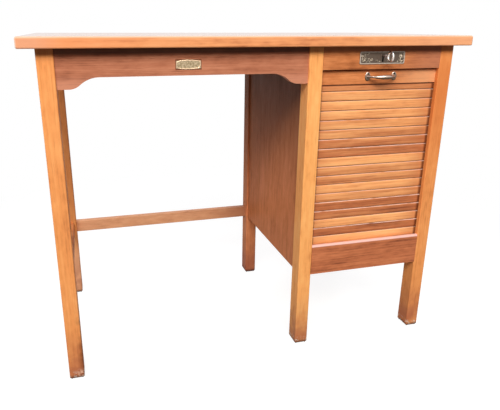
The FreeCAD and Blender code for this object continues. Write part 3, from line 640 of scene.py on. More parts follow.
# Colour and its share, the axis, the box, the shares of the box where the stain is bare and full, and clouds
stain_shares = {
    # Painted shade: a dark band under the overhang of the top, on the apron, the rail and the legs
    "grime": ((32, 11, 2), 0.85, "Z", leg_box, 0.976, 0.988),
    "light_grime": ((32, 11, 2), 0.66, "Z", leg_box, 0.976, 0.988),
    "mopped": ((164, 90, 68), 0.80, "Z", leg_box, 0.217, 0, damp_clouds),
    "paint_flecks": ((236, 222, 206), 0.75, "Z", leg_box, 0.035, 0.008, fleck_clouds),
    "floor_dirt": ((62, 42, 36), 0.78, "Z", leg_box, 0.019, 0.004),
    "red_heart": ((222, 128, 68), 0.85, "Z", leg_box, 0.434, 0.921, heart_clouds),
    # Painted shade on the upper parts of the two rear left legs, under the top and the aprons
    "rear_smoke": ((48, 28, 8), 0.72, "Z", leg_box, 0.488, 0.894),
    "rear_shade": ((122, 64, 40), 0.38, "Z", leg_box, 0.258, 0.339),
    # The rear left leg grows paler towards the floor
    "rear_bleached": ((240, 188, 152), 0.68, "Z", leg_box, 0.298, 0.108),
    "low_scrape": ((112, 56, 28), 0.80, "X", leg_box, 0.576, 1, scrape_clouds),
    "low_scuff": ((246, 208, 180), 0.90, "X", leg_box, 0.485, 0.727, scuff_clouds),
    "top_redder_left": ((240, 146, 92), 0.45, "X", top_box, 0.398, 0),
    "top_pinker_end": ((230, 168, 134), 0.65, "X", top_box, 0.092, 0.025),
    "top_paler_right": ((255, 192, 150), 0.45, "X", top_box, 0.653, 1),
    "apron_paler_low": ((228, 160, 130), 0.46, "Z", apron_box, 0.385, 0.103),
    "apron_left_joint": ((70, 28, 12), 0.85, "X", apron_box, 0.0054, 0.0018),
    "apron_right_joint": ((70, 28, 12), 0.75, "X", apron_box, 0.9955, 0.9982),
    "stretcher_darker_right": ((150, 88, 60), 0.60, "X", top_box, 0.449, 0.602),
    "rail_pinker_right": ((190, 124, 96), 0.65, "X", lead_box, 0.5, 1),
    "lead_paler_right": ((248, 180, 130), 0.60, "X", lead_box, 0.5, 0.902),
    # A painted highlight and rubbed wear on the rounded top edge of the plinth
    "plinth_rubbed_arris_highlight": ((250, 204, 196), 0.88, "Z", plinth_box, 0.927, 0.955, rubbed_clouds),
    # Painted shade over the upper part of the left panel, under the top and the apron
    "panel_upper_shade": ((50, 24, 1), 0.84, "Z", panel_box, 0.258, 0.926),
    # The slats grow darker towards both ends
    "slat_left_end_darker": (slat_end_brown, 0.30, "X", lead_box, 0.207, 0.023),
    "slat_right_end_darker": (slat_end_brown, 0.50, "X", lead_box, 0.761, 0.977),
    # Painted shade of the top's overhang on the upper part of the lock plate and its relief
    "plate_shade": ((52, 40, 32), 0.75, "Z", plate_box, 0.630, 1),
    # A dim reflection painted on the top and the foot of the key's bow
    "bow_top_reflection": ((88, 100, 120), 0.85, "Z", key_box, 0.75, 0.925),
    "bow_foot_reflection": ((88, 100, 120), 0.85, "Z", key_box, 0.25, 0.075),
}
marks = {name: stain(*row) for name, row in stain_shares.items()}
print("stains:", ", ".join(marks))

# %% Wear and painted light that need more than one direction
rounding_shares = (0.35, 0.75)
flat_shares = (0.95, 0.99)
upper_shares = (0.273, 0.546)
# The rubbed edges of the top carry a painted highlight as well as wear
rubbed_arris_highlight = colour(246, 208, 184)
rubbed_arris_highlight_share = 0.8
# A dark line round the name plate: polish dirt and painted shadow
plate_dirt = colour(92, 48, 28)
plate_dirt_and_shadow_share = 0.7
plate_dirt_and_shadow_beside = 0.0012
# Painted shade: black where the keyhole shows the wood behind it
keyhole_black = colour(14, 10, 8)
keyhole_shade_reach = 0.004
keyhole_shade_margin = 0.001
scrape_height_shares = (0.298, 0.136)
scuff_height_shares = (0.041, 0.014)


def rounding(tree, axis):
    """1 on a rounded edge of a face that looks along the axis, and 0 on the flat faces beside it."""
    return facing(tree, axis, *rounding_shares) - facing(tree, axis, *flat_shares)


def top_arris(place, tint):
    """The rounded edges of the top are rubbed pale and carry a painted highlight, but not its underside."""
    upper = rounding(place.tree, "Z") * between(place, "Z", top_box, *upper_shares)
    edges = larger(upper, rounding(place.tree, "X"))
    return blend_colour(edges * patchy(place, *rubbed_clouds) * rubbed_arris_highlight_share, tint, rubbed_arris_highlight)


def round_plate_dirt_and_shadow(place, tint):
    """A dark line on the apron round the name plate, partly polish dirt and partly painted shadow. The plate
    covers the rest of the mask.
    """
    low, high = [Vector(corner) for corner in name_box]
    wide = inside(place, "X", low.x - plate_dirt_and_shadow_beside, high.x + plate_dirt_and_shadow_beside)
    tall = inside(place, "Z", low.z - plate_dirt_and_shadow_beside, high.z + plate_dirt_and_shadow_beside)
    return blend_colour(wide * tall * plate_dirt_and_shadow_share, tint, plate_dirt)


def keyhole_soot(place, tint):
    """The wood behind the keyhole is painted black for the shade in the hole, and the plate hides the edge of
    it.
    """
    keyhole_x = middle_of(key_box)[0]
    wide = inside(place, "X", keyhole_x - keyhole_shade_reach, keyhole_x + keyhole_shade_reach)
    tall = inside(place, "Z", plate_box[0][2] + keyhole_shade_margin, plate_box[1][2] - keyhole_shade_margin)
    return blend_colour(wide * tall, tint, keyhole_black)


def kept_low(mark, bare_share, full_share):
    """The same mark, but only near the floor: gone above one share of the leg, and whole below another."""
    def low_mark(place, tint):
        return blend_colour(between(place, "Z", leg_box, bare_share, full_share), tint, mark(place, tint))
    return low_mark


marks["top_arris"] = top_arris
marks["plate_dirt"] = round_plate_dirt_and_shadow
marks["keyhole_soot"] = keyhole_soot
marks["low_scrape"] = kept_low(marks["low_scrape"], *scrape_height_shares)
marks["low_scuff"] = kept_low(marks["low_scuff"], *scuff_height_shares)
print("marks in all:", len(marks))

# %% Finish the boards that keep their solid shape
# Finish, direction of the grain, and the marks on it from the first to the last
boards = {
    "desk_top": ("top", "x", "top_redder_left top_pinker_end top_paler_right top_arris"),
    "front_apron": ("apron", "x", "apron_paler_low grime apron_left_joint apron_right_joint plate_dirt"),
    "rear_apron": ("apron", "x", ""),
    "left_side_apron": ("apron", "y", ""),
    "left_side_stretcher": ("rail", "y", ""),
    "rear_stretcher": ("stretcher", "x", "stretcher_darker_right"),
    "pedestal_top_rail": ("rail", "x", "rail_pinker_right light_grime keyhole_soot"),
    "pedestal_rear_rail": ("apron", "x", ""),
    "plinth_rail": ("plinth", "x", "plinth_rubbed_arris_highlight"),
    "pedestal_left_panel": ("panel", "z", "panel_upper_shade"),
    "pedestal_right_panel": ("panel", "z", ""),
    "pedestal_back_panel": ("panel", "z", ""),
    "leg_front_left": ("leg", "z", "light_grime mopped low_scrape paint_flecks low_scuff floor_dirt"),
    "leg_rear_left": ("leg", "z", "rear_shade rear_bleached mopped floor_dirt"),
    "pedestal_leg_front_left": ("pale_leg", "z", "light_grime mopped paint_flecks floor_dirt"),
    "pedestal_leg_rear_left": ("red_leg", "z", "rear_smoke mopped floor_dirt"),
    "pedestal_leg_front_right": ("leg", "z", "red_heart light_grime mopped paint_flecks floor_dirt"),
    "pedestal_leg_rear_right": ("leg", "z", "mopped floor_dirt"),
    "left_guide_board": ("inner", "z", ""),
    "right_guide_board": ("inner", "z", ""),
    "pedestal_floor": ("inner", "x", ""),
    "dust_board": ("inner", "x", ""),
    "lower_shelf": ("inner", "x", ""),
    "upper_shelf": ("inner", "x", ""),
    "shelf_cleats": ("inner", "y", ""),
    "glue_blocks": ("inner", "x", ""),
    "lead_slat": ("lead", "x", "lead_paler_right"),
}
for number, (name, (kind, axis, worn)) in enumerate(boards.items()):
    paint_node(name, wood(name + "_wood", kind, axis, number, [marks[mark] for mark in worn.split()]))
print("boards finished:", len(boards))

# %% [markdown]
# ## Slats of the shutter
# The shutter is eighteen thin slats glued on canvas. They have one section, so one slat is drawn once and set
# on a column of points by Geometry Nodes. Each point carries the slat's height and its tone, because the
# maker used light and dark offcuts side by side.

# %% Sizes of the shutter
slat_count = 18
slat_nodes = [f"slat_{number + 1:02d}" for number in range(slat_count)]
slat_boxes = [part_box(name) for name in slat_nodes]
slat_long, slat_deep, slat_tall = sizes_of(slat_boxes[1])
slat_round = 0.0026
slat_crown = 0.0007
slat_sway = 0.00015
slat_lean = math.radians(0.35)
slat_seed = 7
# 0 is honey and 1 is brown, from the top slat down
slat_tone_shares = (0.56, 0.34, 0.14, 0.20, 0.24, 0.46, 0.74, 0.84, 0.08, 0.46, 0.62, 0.12, 0.36, 0.96, 0.94,
                    0.14, 0.98, 0.12)
print("slat", in_millimetres(slat_boxes[1]), "mm, count", slat_count)

# %% Helpers for trees that grow a shape
# The sockets of a Random Value node that carry the ends of a number, and the one with the number
random_inputs = (2, 3)
random_output = 1


def new_growth(name, *numbers):
    """Starts a Geometry Nodes tree. It takes a geometry, the named numbers and a finish."""
    tree = bpy.data.node_groups.new(name, "GeometryNodeTree")
    sockets = [("Geometry", "Geometry"), *[(number, "Float") for number in numbers], ("Finish", "Material")]
    for label, kind in sockets:
        tree.interface.new_socket(label, in_out="INPUT", socket_type="NodeSocket" + kind)
    tree.interface.new_socket("Geometry", in_out="OUTPUT", socket_type="NodeSocketGeometry")
    return add_node("NodeGroupInput", tree=tree)


def close_growth(shape, finish):
    """Realises what was instanced, smooths it and gives it its material."""
    real = add_node("GeometryNodeRealizeInstances", {0: shape})[0]
    smooth = add_node("GeometryNodeSetShadeSmooth", {"Geometry": real})[0]
    painted = add_node("GeometryNodeSetMaterial", {"Geometry": smooth, "Material": finish})[0]
    add_node("NodeGroupOutput", {"Geometry": painted})
    print(shape.tree.name, "has", len(shape.tree.nodes), "nodes")
    return shape.tree


def named_value(tree, name):
    return add_node("GeometryNodeInputNamedAttribute", {"Name": name}, tree, data_type="FLOAT")["Attribute"]


def moved(shape, shift):
    return add_node("GeometryNodeSetPosition", {"Geometry": shape, "Offset": shift})[0]


def swept(line, section):
    """A section led along a line, with closed ends."""
    inputs = {"Curve": line, "Profile Curve": section, "Fill Caps": True}
    return add_node("GeometryNodeCurveToMesh", inputs)[0]


def set_on_points(points, piece, turns, scale=(1.0, 1.0, 1.0)):
    """Sets a piece on every point, turned about the three axes and scaled."""
    rotation = add_node("FunctionNodeEulerToRotation", {0: turns})[0]
    inputs = {"Points": points, "Instance": piece, "Rotation": rotation, "Scale": scale}
    return add_node("GeometryNodeInstanceOnPoints", inputs)[0]


def random_reach(reach, seed, draw):
    """A random number for each point, up to the reach on both sides of zero. Each draw has its own seed."""
    inputs = {**dict(zip(random_inputs, (-reach, reach))), "Seed": seed + draw}
    return add_node("FunctionNodeRandomValue", inputs, data_type="FLOAT")[random_output]


print("growth helpers ready")

# %% The tree that sets a slat on every point
outline_points = 56
corner_points = 5
slat_end_shares = (-0.5, 0.5)
sway_draw = 1.0
lean_draw = 2.0


def slat_blank(given):
    """A rounded bar along the first axis, with its middle at the origin."""
    size = {"Width": given["Deep"], "Height": given["Tall"]}
    section = add_node("GeometryNodeCurvePrimitiveQuadrilateral", size)[0]
    corners = {"Curve": section, "Radius": given["Round"], "Count": corner_points}
    rounded = add_node("GeometryNodeFilletCurve", corners, mode="POLY")[0]
    outline = {"Curve": rounded, "Count": outline_points}
    even = add_node("GeometryNodeResampleCurve", outline, mode="COUNT")[0]
    start, end = [vector_of(given["Long"] * share, 0.0, 0.0) for share in slat_end_shares]
    return swept(add_node("GeometryNodeCurvePrimitiveLine", {"Start": start, "End": end})[0], even)


def crowned_slat(given):
    """A slat whose front falls back towards its long edges. Each point keeps how far up it lies."""
    blank = slat_blank(given)
    y, z = xyz(add_node("GeometryNodeInputPosition", tree=blank.tree)[0])[1:]
    across = z / given["Tall"]
    from_middle = across + across
    fall_back = from_middle * from_middle * given["Crown"] * y.reckon("LESS_THAN", 0.0)
    label = {"Geometry": blank, "Name": "across", "Value": across}
    marked = add_node("GeometryNodeStoreNamedAttribute", label, data_type="FLOAT", domain="POINT")[0]
    return moved(marked, vector_of(0.0, fall_back, 0.0))


def make_slat_tree():
    given = new_growth("shutter_slats", "Long", "Deep", "Tall", "Round", "Crown", "Sway", "Lean", "Seed")
    sway = random_reach(given["Sway"], given["Seed"], sway_draw)
    lean = random_reach(given["Lean"], given["Seed"], lean_draw)
    points = moved(given["Geometry"], vector_of(0.0, sway, 0.0))
    height = vector_of(1.0, 1.0, named_value(points.tree, "height_share"))
    column = set_on_points(points, crowned_slat(given), vector_of(lean, 0.0, 0.0), height)
    return close_growth(column, given["Finish"])


slat_tree = make_slat_tree()

# %% Tone, dirt and painted shade of a slat
slat_coat = 0.25
# A painted highlight and rubbed wear along the upper edge of each slat
slat_rubbed_arris_highlight = colour(255, 216, 198)
arris_shares = (0.425, 0.455)
slat_rubbed_arris_highlight_share = 0.34
arris_dark_share = 0.50
arris_scale = 34.0
rubbed_shares = (0.18, 0.55)
# Dark joints are dirt. The same colour paints shade at the slat ends and under the lead slat
joint_dirt_and_shade_colour = colour(86, 36, 14)
joint_shares = (-0.475, -0.43)
joint_dirt_and_shade_share = 0.85
end_shade_shares = (0.052, 0.033)
shadow_under_lead_shares = (0.775, 0.887)
patch_along = 5.0
patch_across = 110.0
patch_apart = 3.7
patch_strength = 1.3


def attribute_value(tree, name):
    return add_node("ShaderNodeAttribute", tree=tree, attribute_name=name)["Fac"]


def slat_brown_share(place, number):
    """How brown a slat is: its own tone, changed in patches along it."""
    x, z = xyz(place)[::2]
    spread = vector_of(x * patch_along, number * patch_apart, z * patch_across)
    patches = noise(spread, 1.0, patch_detail)[0]
    return rise((patches - mean_share) * patch_strength + attribute_value(place.tree, "tone"), 0.0, 1.0)


def slat_dirt_and_end_shade(place, across):
    """Dirt in the joint below each slat, and painted shade at both ends of it, where it runs into the legs.
    """
    left_end = between(place, "X", lead_box, *end_shade_shares)
    right_end = between(place, "X", lead_box, *[1 - share for share in end_shade_shares])
    return larger(larger(left_end, right_end), 1 - rise(across, *joint_shares)) * joint_dirt_and_shade_share


print("dirt fills the joints by a share of", joint_dirt_and_shade_share)

# %% Wood of the slats
def slat_wood():
    """Honey or brown by tone, own grain, rubbed painted highlight above, dirt and painted shade in joints."""
    material, tree = new_material("slat_wood")
    place = object_place(tree)
    number = attribute_value(tree, "slat")
    across = attribute_value(tree, "across")
    brown_share = slat_brown_share(place, number)
    woods = [blend_colour(brown_share, honey, brown)
             for honey, brown in zip(colours_of("slat_honey"), colours_of("slat_brown"))]
    grain = grain_from(log_steps(along_grain(place, "x"), number), woods, "slat")
    tint = grain["Color"]
    for shade in ("slat_left_end_darker", "slat_right_end_darker"):
        tint = marks[shade](place, tint)
    tint = blend_colour(slat_dirt_and_end_shade(place, across), tint, joint_dirt_and_shade_colour)
    # Painted highlight, broken up like rubbed wear, on the upper edge, stronger on brown slats
    rubbed = rise(noise(place, arris_scale)[0], *rubbed_shares)
    rubbed_highlight = rise(across, *arris_shares) * rubbed * (brown_share * arris_dark_share + slat_rubbed_arris_highlight_share)
    tint = blend_colour(rubbed_highlight, tint, slat_rubbed_arris_highlight)
    # Painted shadow of the lead slat over the top of the first slat
    shadow_under_lead = between(place, "Z", slat_boxes[0], *shadow_under_lead_shares)
    tint = blend_colour(shadow_under_lead * joint_dirt_and_shade_share, tint, joint_dirt_and_shade_colour)
    shellacked(tint, grain, slat_coat, shellac_roughness, wood_shine)
    return material


slat_finish = slat_wood()
print("slat wood has", len(slat_finish.node_tree.nodes), "nodes")

# %% Set out the points and grow the slats
def point_cloud(name, places, **values):
    """A mesh of loose points, each with the named numbers."""
    mesh = bpy.data.meshes.new(name)
    mesh.from_pydata([tuple(place) for place in places], [], [])
    for label, numbers in values.items():
        mesh.attributes.new(label, "FLOAT", "POINT").data.foreach_set("value", list(numbers))
    return mesh


def settle(piece, modifier):
    """Keeps what a modifier makes of a piece as its own plain mesh."""
    graph = bpy.context.evaluated_depsgraph_get()
    plain = bpy.data.meshes.new_from_object(piece.evaluated_get(graph), preserve_all_data_layers=True,
                                            depsgraph=graph)
    piece.modifiers.remove(modifier)
    piece.data = plain
    print(piece.name, "has", len(plain.polygons), "faces")


def grow(name, mesh, tree, **inputs):
    """Runs a tree on a mesh, and keeps the result as a plain mesh at the origin."""
    holder = new_object(name, mesh)
    modifier = holder.modifiers.new("growth", "NODES")
    modifier.node_group = tree
    for socket in tree.interface.items_tree:
        label = socket.name.lower().replace(" ", "_")
        if socket.in_out == "INPUT" and label in inputs:
            modifier[socket.identifier] = inputs[label]
    settle(holder, modifier)
    return holder


slat_points = point_cloud("slat_points", [middle_of(box) for box in slat_boxes],
                          height_share=[sizes_of(box)[2] / slat_tall for box in slat_boxes],
                          tone=slat_tone_shares, slat=range(1, slat_count + 1))
slats = grow("shutter_slats", slat_points, slat_tree, long=slat_long, deep=slat_deep, tall=slat_tall,
             round=slat_round, crown=slat_crown, sway=slat_sway, lean=slat_lean, seed=float(slat_seed),
             finish=slat_finish)

# %% Attach the slats, and reckon where they would end rolled away
roll_away_share = 0.015
roll_away_drop = 0.0038
roll_away_z = slat_boxes[-1][0][2] - roll_away_drop
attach(slats, "desk")
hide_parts(*slat_nodes)
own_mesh(slats)
rolled_top = roll_away_z + roll_away_share * (slat_boxes[0][1][2] - roll_away_z)
print("rolled away, the slats end at", round(rolled_top, 4), "and the plinth at", round(plinth_box[1][2], 4))

# %% [markdown]
# ## Canvas behind the slats
# A sheet of coarse linen, glued across the backs, lets the slats bend but not part. It is a plain stretched
# sheet that dips a little between two slats, so a grid with a small wave and a thickness is enough, and no
# cloth simulation is needed. The weave is two crossed waves of thread.

# %% The weave
linen_pale = colour(206, 192, 160)
linen_dark = colour(150, 134, 104)
linen_pale_shares = (0.3, 0.9)
linen_rough = 0.92
thread_polish = -0.1
thread_pitch = 0.0011
# Clouds in a metre, their detail and their roughness
slub_noise = (90.0, 4.0, 0.65)
slub_share = 0.8
weave_share = 0.4
linen_bump_share = 0.5
canvas_dip = 0.0002


def linen():
    material, tree = new_material("linen_canvas")
    place = object_place(tree)
    warp, weft = [(part_of(place, axis) * (math.tau / thread_pitch)).reckon("SINE") for axis in "XZ"]
    weave = (warp * weft) / 2 + 1 / 2
    shade = noise(place, *slub_noise)[0] * slub_share + weave * weave_share
    tint = blend_colour(rise(shade, *linen_pale_shares), linen_dark, linen_pale)
    end_with_surface(tint, weave * thread_polish + linen_rough, weave, linen_bump_share, canvas_dip, {})
    return material


canvas_finish = linen()
print("a thread every", thread_pitch, "m")

# %% Close a drawn form
merge_distance = 0.000001
sharp_angle = math.radians(35)


def new_piece(name, form, material):
    """Closes a bmesh into an object at the origin, with its faces outward and only its real edges sharp."""
    bmesh.ops.remove_doubles(form, verts=form.verts, dist=merge_distance)
    bmesh.ops.recalc_face_normals(form, faces=form.faces)
    mesh = bpy.data.meshes.new(name)
    form.to_mesh(mesh)
    form.free()
    mesh.materials.append(material)
    mesh.shade_smooth()
    mesh.set_sharp_from_angle(angle=sharp_angle)
    return new_object(name, mesh)


print("edges over", round(math.degrees(sharp_angle)), "degrees stay sharp")

# %% The sheet
canvas_columns = 12
canvas_rows_per_slat = 4
canvas_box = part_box("canvas_backing")
canvas_wide, canvas_thick, canvas_long = sizes_of(canvas_box)
canvas_left, canvas_front, canvas_low = canvas_box[0]
slat_joint_z = slat_boxes[2][0][2]
slat_pitch = slat_boxes[1][0][2] - slat_joint_z
canvas_rows = canvas_rows_per_slat * slat_count
sheet_form = bmesh.new()
sheet_rows = []
for row in range(canvas_rows + 1):
    z = canvas_low + canvas_long * row / canvas_rows
    y = canvas_front + canvas_dip * (1 + math.cos(math.tau * (z - slat_joint_z) / slat_pitch)) / 2
    sheet_rows.append([sheet_form.verts.new((canvas_left + canvas_wide * column / canvas_columns, y, z))
                       for column in range(canvas_columns + 1)])
for lower, upper in zip(sheet_rows, sheet_rows[1:]):
    for column in range(canvas_columns):
        sheet_form.faces.new((lower[column], lower[column + 1], upper[column + 1], upper[column]))
canvas = new_piece("shutter_canvas", sheet_form, canvas_finish)
thickness = canvas.modifiers.new("cloth_thickness", "SOLIDIFY")
thickness.thickness = canvas_thick - canvas_dip
thickness.offset = -1.0
settle(canvas, thickness)
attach(canvas, "desk")
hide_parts("canvas_backing")
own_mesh(canvas)
print("canvas", round(canvas_wide, 4), "by", round(canvas_long, 4), "m")

# %% [markdown]
# ## Nickel and brass
# The handle, the key and the lock plate were nickelled white metal. Most of the shine has gone from the
# hollows, while high places stay bright from touch. One recipe serves all metals: two colours, mixed by
# cloudy tarnish, with roughness that follows it and fine scratches for the bump. Dirt and old polish have
# filled the lock plate's sunk field, so its mask only has to ask how far back a point lies.

# %% The metal recipe
# Clouds in a metre, their detail and their roughness
tarnish_noise = (240.0, 4.0, 0.6)
scratch_noise = (1400.0, 3.0, 0.7)
tarnish_shares = (0.36, 0.64)
metal_bump_share = 0.35
metal_bump_depth = 0.00006


def metal(name, bright, dull, smooth, rough, tarnish_share, dulling=None, stains=()):
    """Dulling changes where the metal has gone dull, and the named marks paint shade or a reflection on its
    colour.
    """
    material, tree = new_material(name)
    place = object_place(tree)
    dulled = rise(noise(place, *tarnish_noise)[0] + (tarnish_share - mean_share), *tarnish_shares)
    if dulling:
        dulled = dulling(place, dulled)
    tint = blend_colour(dulled, colour(*bright), colour(*dull))
    for stained in stains:
        tint = marks[stained](place, tint)
    roughness = dulled * (rough - smooth) + smooth
    scratches = noise(place, *scratch_noise)[0]
    end_with_surface(tint, roughness, scratches, metal_bump_share, metal_bump_depth, {"Metallic": 1.0})
    return material


print("scratches are", metal_bump_depth, "m deep")

# %% What makes a metal dull, and where shade is painted on it
below_shares = (-0.30, 0.55)
upper_dull_share = 0.6
shank_shares = (0.308, 0.336)
field_shares = (0.075, 0.30)


def dull_and_shaded_below(place, dulled):
    """Fingers polish the upper side, and the underside goes dull, with painted shade in its darker colour."""
    return larger(dulled * upper_dull_share, 1 - rise(normal_part(place.tree, "Z"), *below_shares))


def dull_and_shaded_shank(place, dulled):
    """Only the bow of the key is polished by fingers. The shank behind it stays dull, with painted shade in
    its darker colour.
    """
    return larger(dulled, between(place, "Y", key_box, *shank_shares))


def filled_field(place, dulled):
    """The lock plate's sunk field is full of old polish."""
    return larger(dulled, between(place, "Y", plate_box, *field_shares))


print("the upper side of the handle keeps a dull share of", upper_dull_share)

# %% All metals
# Bright and dull colour, the roughness of both, the share that has gone dull, what dulls and shades it, and
# the marks that paint shade or a reflection on it
metals = {
    "handle_nickel": ((228, 208, 194), (98, 84, 68), 0.32, 0.46, 0.34, dull_and_shaded_below),
    "key_nickel": ((242, 236, 230), (166, 154, 150), 0.26, 0.36, 0.12, dull_and_shaded_shank, ("bow_top_reflection", "bow_foot_reflection")),
    "relief_nickel": ((188, 175, 156), (104, 92, 78), 0.28, 0.46, 0.46, None, ("plate_shade",)),
    "plate_nickel": ((222, 206, 190), (110, 96, 85), 0.32, 0.50, 0.40, filled_field, ("plate_shade",)),
    "screw_steel": ((74, 66, 58), (24, 19, 15), 0.40, 0.60, 0.60),
    "dark_steel": ((128, 122, 114), (70, 62, 54), 0.36, 0.60, 0.50),
    "pale_brass": ((206, 186, 154), (150, 132, 102), 0.38, 0.55, 0.50),
    "rim_brass": ((240, 214, 182), (206, 178, 142), 0.36, 0.50, 0.35),
}
metal_nodes = {
    "dark_steel": ("lock_case", "lock_screws", "lock_bolt", "shutter_staple", "staple_screws"),
    "relief_nickel": ("escutcheon_pins",),
    "plate_nickel": ("escutcheon_plate",),
    "key_nickel": ("key",),
    "pale_brass": ("name_plate",),
    "rim_brass": ("name_plate_pins",),
}
metal_finishes = {name: metal(name, *row) for name, row in metals.items()}
for finish, names in metal_nodes.items():
    for name in names:
        paint_node(name, metal_finishes[finish])
print("metals:", ", ".join(metal_finishes))

# %% [markdown]
# ## Scrolls and leaves on the lock plate
# Both ends of the plate carry a cast spray of the common garden kind: waving stems, buds and leaves, and at
# the right a fan. The stems are rails swept by Geometry Nodes along a line of points, and every leaf and
# petal is one small drop set on a point that says how it is turned and how big it is. All are half sunk in
# the field, as castings are.

# %% Trees for rails and for drops
rail_sides = 8
drop_segments = 10
drop_rings = 6


def make_rail_tree():
    """A round rail along every line of a mesh of edges."""
    given = new_growth("raised_rail", "Thick", "Step")
    line = add_node("GeometryNodeMeshToCurve", {0: given["Geometry"]})[0]
    smooth = add_node("GeometryNodeCurveSplineType", {"Curve": line}, spline_type="NURBS")[0]
    steps = {"Curve": smooth, "Length": given["Step"]}
    stepped = add_node("GeometryNodeResampleCurve", steps, mode="LENGTH")[0]
    circle = {"Resolution": rail_sides, "Radius": given["Thick"]}
    section = add_node("GeometryNodeCurvePrimitiveCircle", circle, mode="RADIUS")[0]
    return close_growth(swept(stepped, section), given["Finish"])


def make_drop_tree():
    """A drop on every point, as long, high and wide as the point says."""
    given = new_growth("raised_drops")
    tree = given["Geometry"].tree
    ball = {"Segments": drop_segments, "Rings": drop_rings, "Radius": 1.0}
    drop = add_node("GeometryNodeMeshUVSphere", ball, tree)[0]
    turns = vector_of(0.0, named_value(tree, "turn"), 0.0)
    size = vector_of(*[named_value(tree, label) for label in ("long", "high", "wide")])
    return close_growth(set_on_points(given["Geometry"], drop, turns, size), given["Finish"])


rail_tree = make_rail_tree()
drop_tree = make_drop_tree()

# %% Draw the stems in plate millimetres
plate_middle = Vector(middle_of(plate_box))
field_depth = 0.0006
field_y = plate_box[0][1] + field_depth
stem_thick = 0.0008
stem_step = 0.0008
stem_lines = (
    ((-54.0, 2.5), (-51.5, 6.0), (-47.5, 5.5), (-44.5, 0.5), (-40.5, -4.5), (-35.0, -6.5), (-29.5, -5.0),
     (-26.0, -2.0), (-23.5, -4.0)),
    ((-49.5, 9.6), (-45.5, 10.2), (-41.0, 8.6), (-38.0, 5.6), (-36.4, 7.2), (-34.4, 10.2), (-32.6, 8.4)),
    ((-44.5, 0.5), (-48.5, -1.5), (-51.5, -5.0), (-50.0, -8.6), (-46.6, -8.4), (-46.2, -5.6)),
    ((-17.5, -5.4), (-13.6, -5.8), (-10.4, -8.4), (-7.0, -9.2), (-5.4, -7.4)),
    ((40.0, -2.0), (42.5, -6.5), (46.5, -9.0), (51.0, -8.0), (53.0, -4.5)),
    ((41.0, 9.0), (44.0, 10.6), (47.5, 9.6), (50.0, 10.4), (53.0, 8.0), (52.6, 4.4), (54.2, 1.4),
     (53.2, -2.0)),
)


def plate_place(x, z):
    return (plate_middle.x + x * millimetre, field_y, plate_middle.z + z * millimetre)


def chain(name, lines):
    """Several open lines of points in one mesh of edges."""
    mesh = bpy.data.meshes.new(name)
    places = []
    edges = []
    for line in lines:
        edges += [(len(places) + step, len(places) + step + 1) for step in range(len(line) - 1)]
        places += line
    mesh.from_pydata(places, edges, [])
    return mesh


stem_mesh = chain("stem_lines", [[plate_place(x, z) for x, z in line] for line in stem_lines])
stems = grow("plate_stems", stem_mesh, rail_tree, thick=stem_thick, step=stem_step,
             finish=metal_finishes["relief_nickel"])

# %% Leaves, buds and the fan
drop_high = 0.0008
heart_high_share = 1.3
leaf_high_share = 1.0
fan_high_share = 1.2
petal_count = 6
petal_long = 1.5
petal_wide = 0.85
petal_out_share = 0.6
bud_heart = 1.0
# Place in plate millimetres and size
buds = ((-44.8, -5.2, 1.0), (-26.6, -4.2, 1.15), (-35.2, 9.6, 0.6), (43.8, -4.2, 1.0), (48.2, -8.8, 1.1),
        (-52.6, 9.8, 0.7))
# Place in plate millimetres, turn in degrees, length and width
leaves = ((-48.6, 3.0, 40, 3.0, 1.2), (-43.0, 3.8, -50, 3.2, 1.3), (-39.2, -1.2, -35, 3.0, 1.2),
          (-38.4, -8.6, 20, 3.2, 1.1), (-31.4, -8.8, -25, 3.0, 1.1), (-33.4, -2.4, 30, 2.8, 1.1),
          (-50.6, -2.0, 70, 2.6, 1.1), (-43.2, 7.6, 25, 2.8, 1.1), (-12.0, -5.4, -30, 2.4, 1.0),
          (42.6, 3.0, 60, 2.6, 1.1), (52.4, -6.6, 40, 2.6, 1.1), (39.6, -9.0, 10, 2.4, 1.0))
fan_root = (42.5, -2.0)
fan_angles = (84, 65, 46, 27, 8)
fan_long = 5.4
fan_wide = 1.05
fan_start = 1.5
print("leaves:", len(leaves), "buds:", len(buds), "in the fan:", len(fan_angles))

# %% Set the drops
drops = []


def add_drop(x, z, turn, long, wide, high_share, reach=0.0):
    """Notes a drop, set off from its place by a reach in the direction of its turn."""
    drops.append((x + reach * math.cos(turn), z + reach * math.sin(turn), turn, long, wide, high_share))


for x, z, size in buds:
    add_drop(x, z, 0.0, bud_heart * size, bud_heart * size, heart_high_share)
    for petal in range(petal_count):
        add_drop(x, z, math.tau * petal / petal_count, petal_long * size, petal_wide * size, leaf_high_share,
                 (bud_heart + petal_long * petal_out_share) * size)
for x, z, degrees, long, wide in leaves:
    add_drop(x, z, math.radians(degrees), long, wide, leaf_high_share)
for degrees in fan_angles:
    add_drop(*fan_root, math.radians(degrees), fan_long, fan_wide, fan_high_share, fan_start + fan_long)
drop_points = point_cloud("drop_points", [plate_place(x, z) for x, z, *rest in drops],
                          turn=[-drop[2] for drop in drops],
                          long=[drop[3] * millimetre for drop in drops],
                          wide=[drop[4] * millimetre for drop in drops],
                          high=[drop[5] * drop_high for drop in drops])
foliage = grow("plate_foliage", drop_points, drop_tree, finish=metal_finishes["relief_nickel"])
for piece in (stems, foliage):
    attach(piece, "desk")
print("drops on the plate:", len(drops))

# %% [markdown]
# ## The pull handle
# The handle is a bowed cast bar between two oval feet. The bar is full in the middle, thin at the necks, each
# with a ring, and wide again at the feet. A screw sits in a hole in the upper part of each foot. Every form
# here is a row of rings with a skin over them, which follows the bow better than a straight lathe would.

# %% Rings with a skin
ring_points = 40


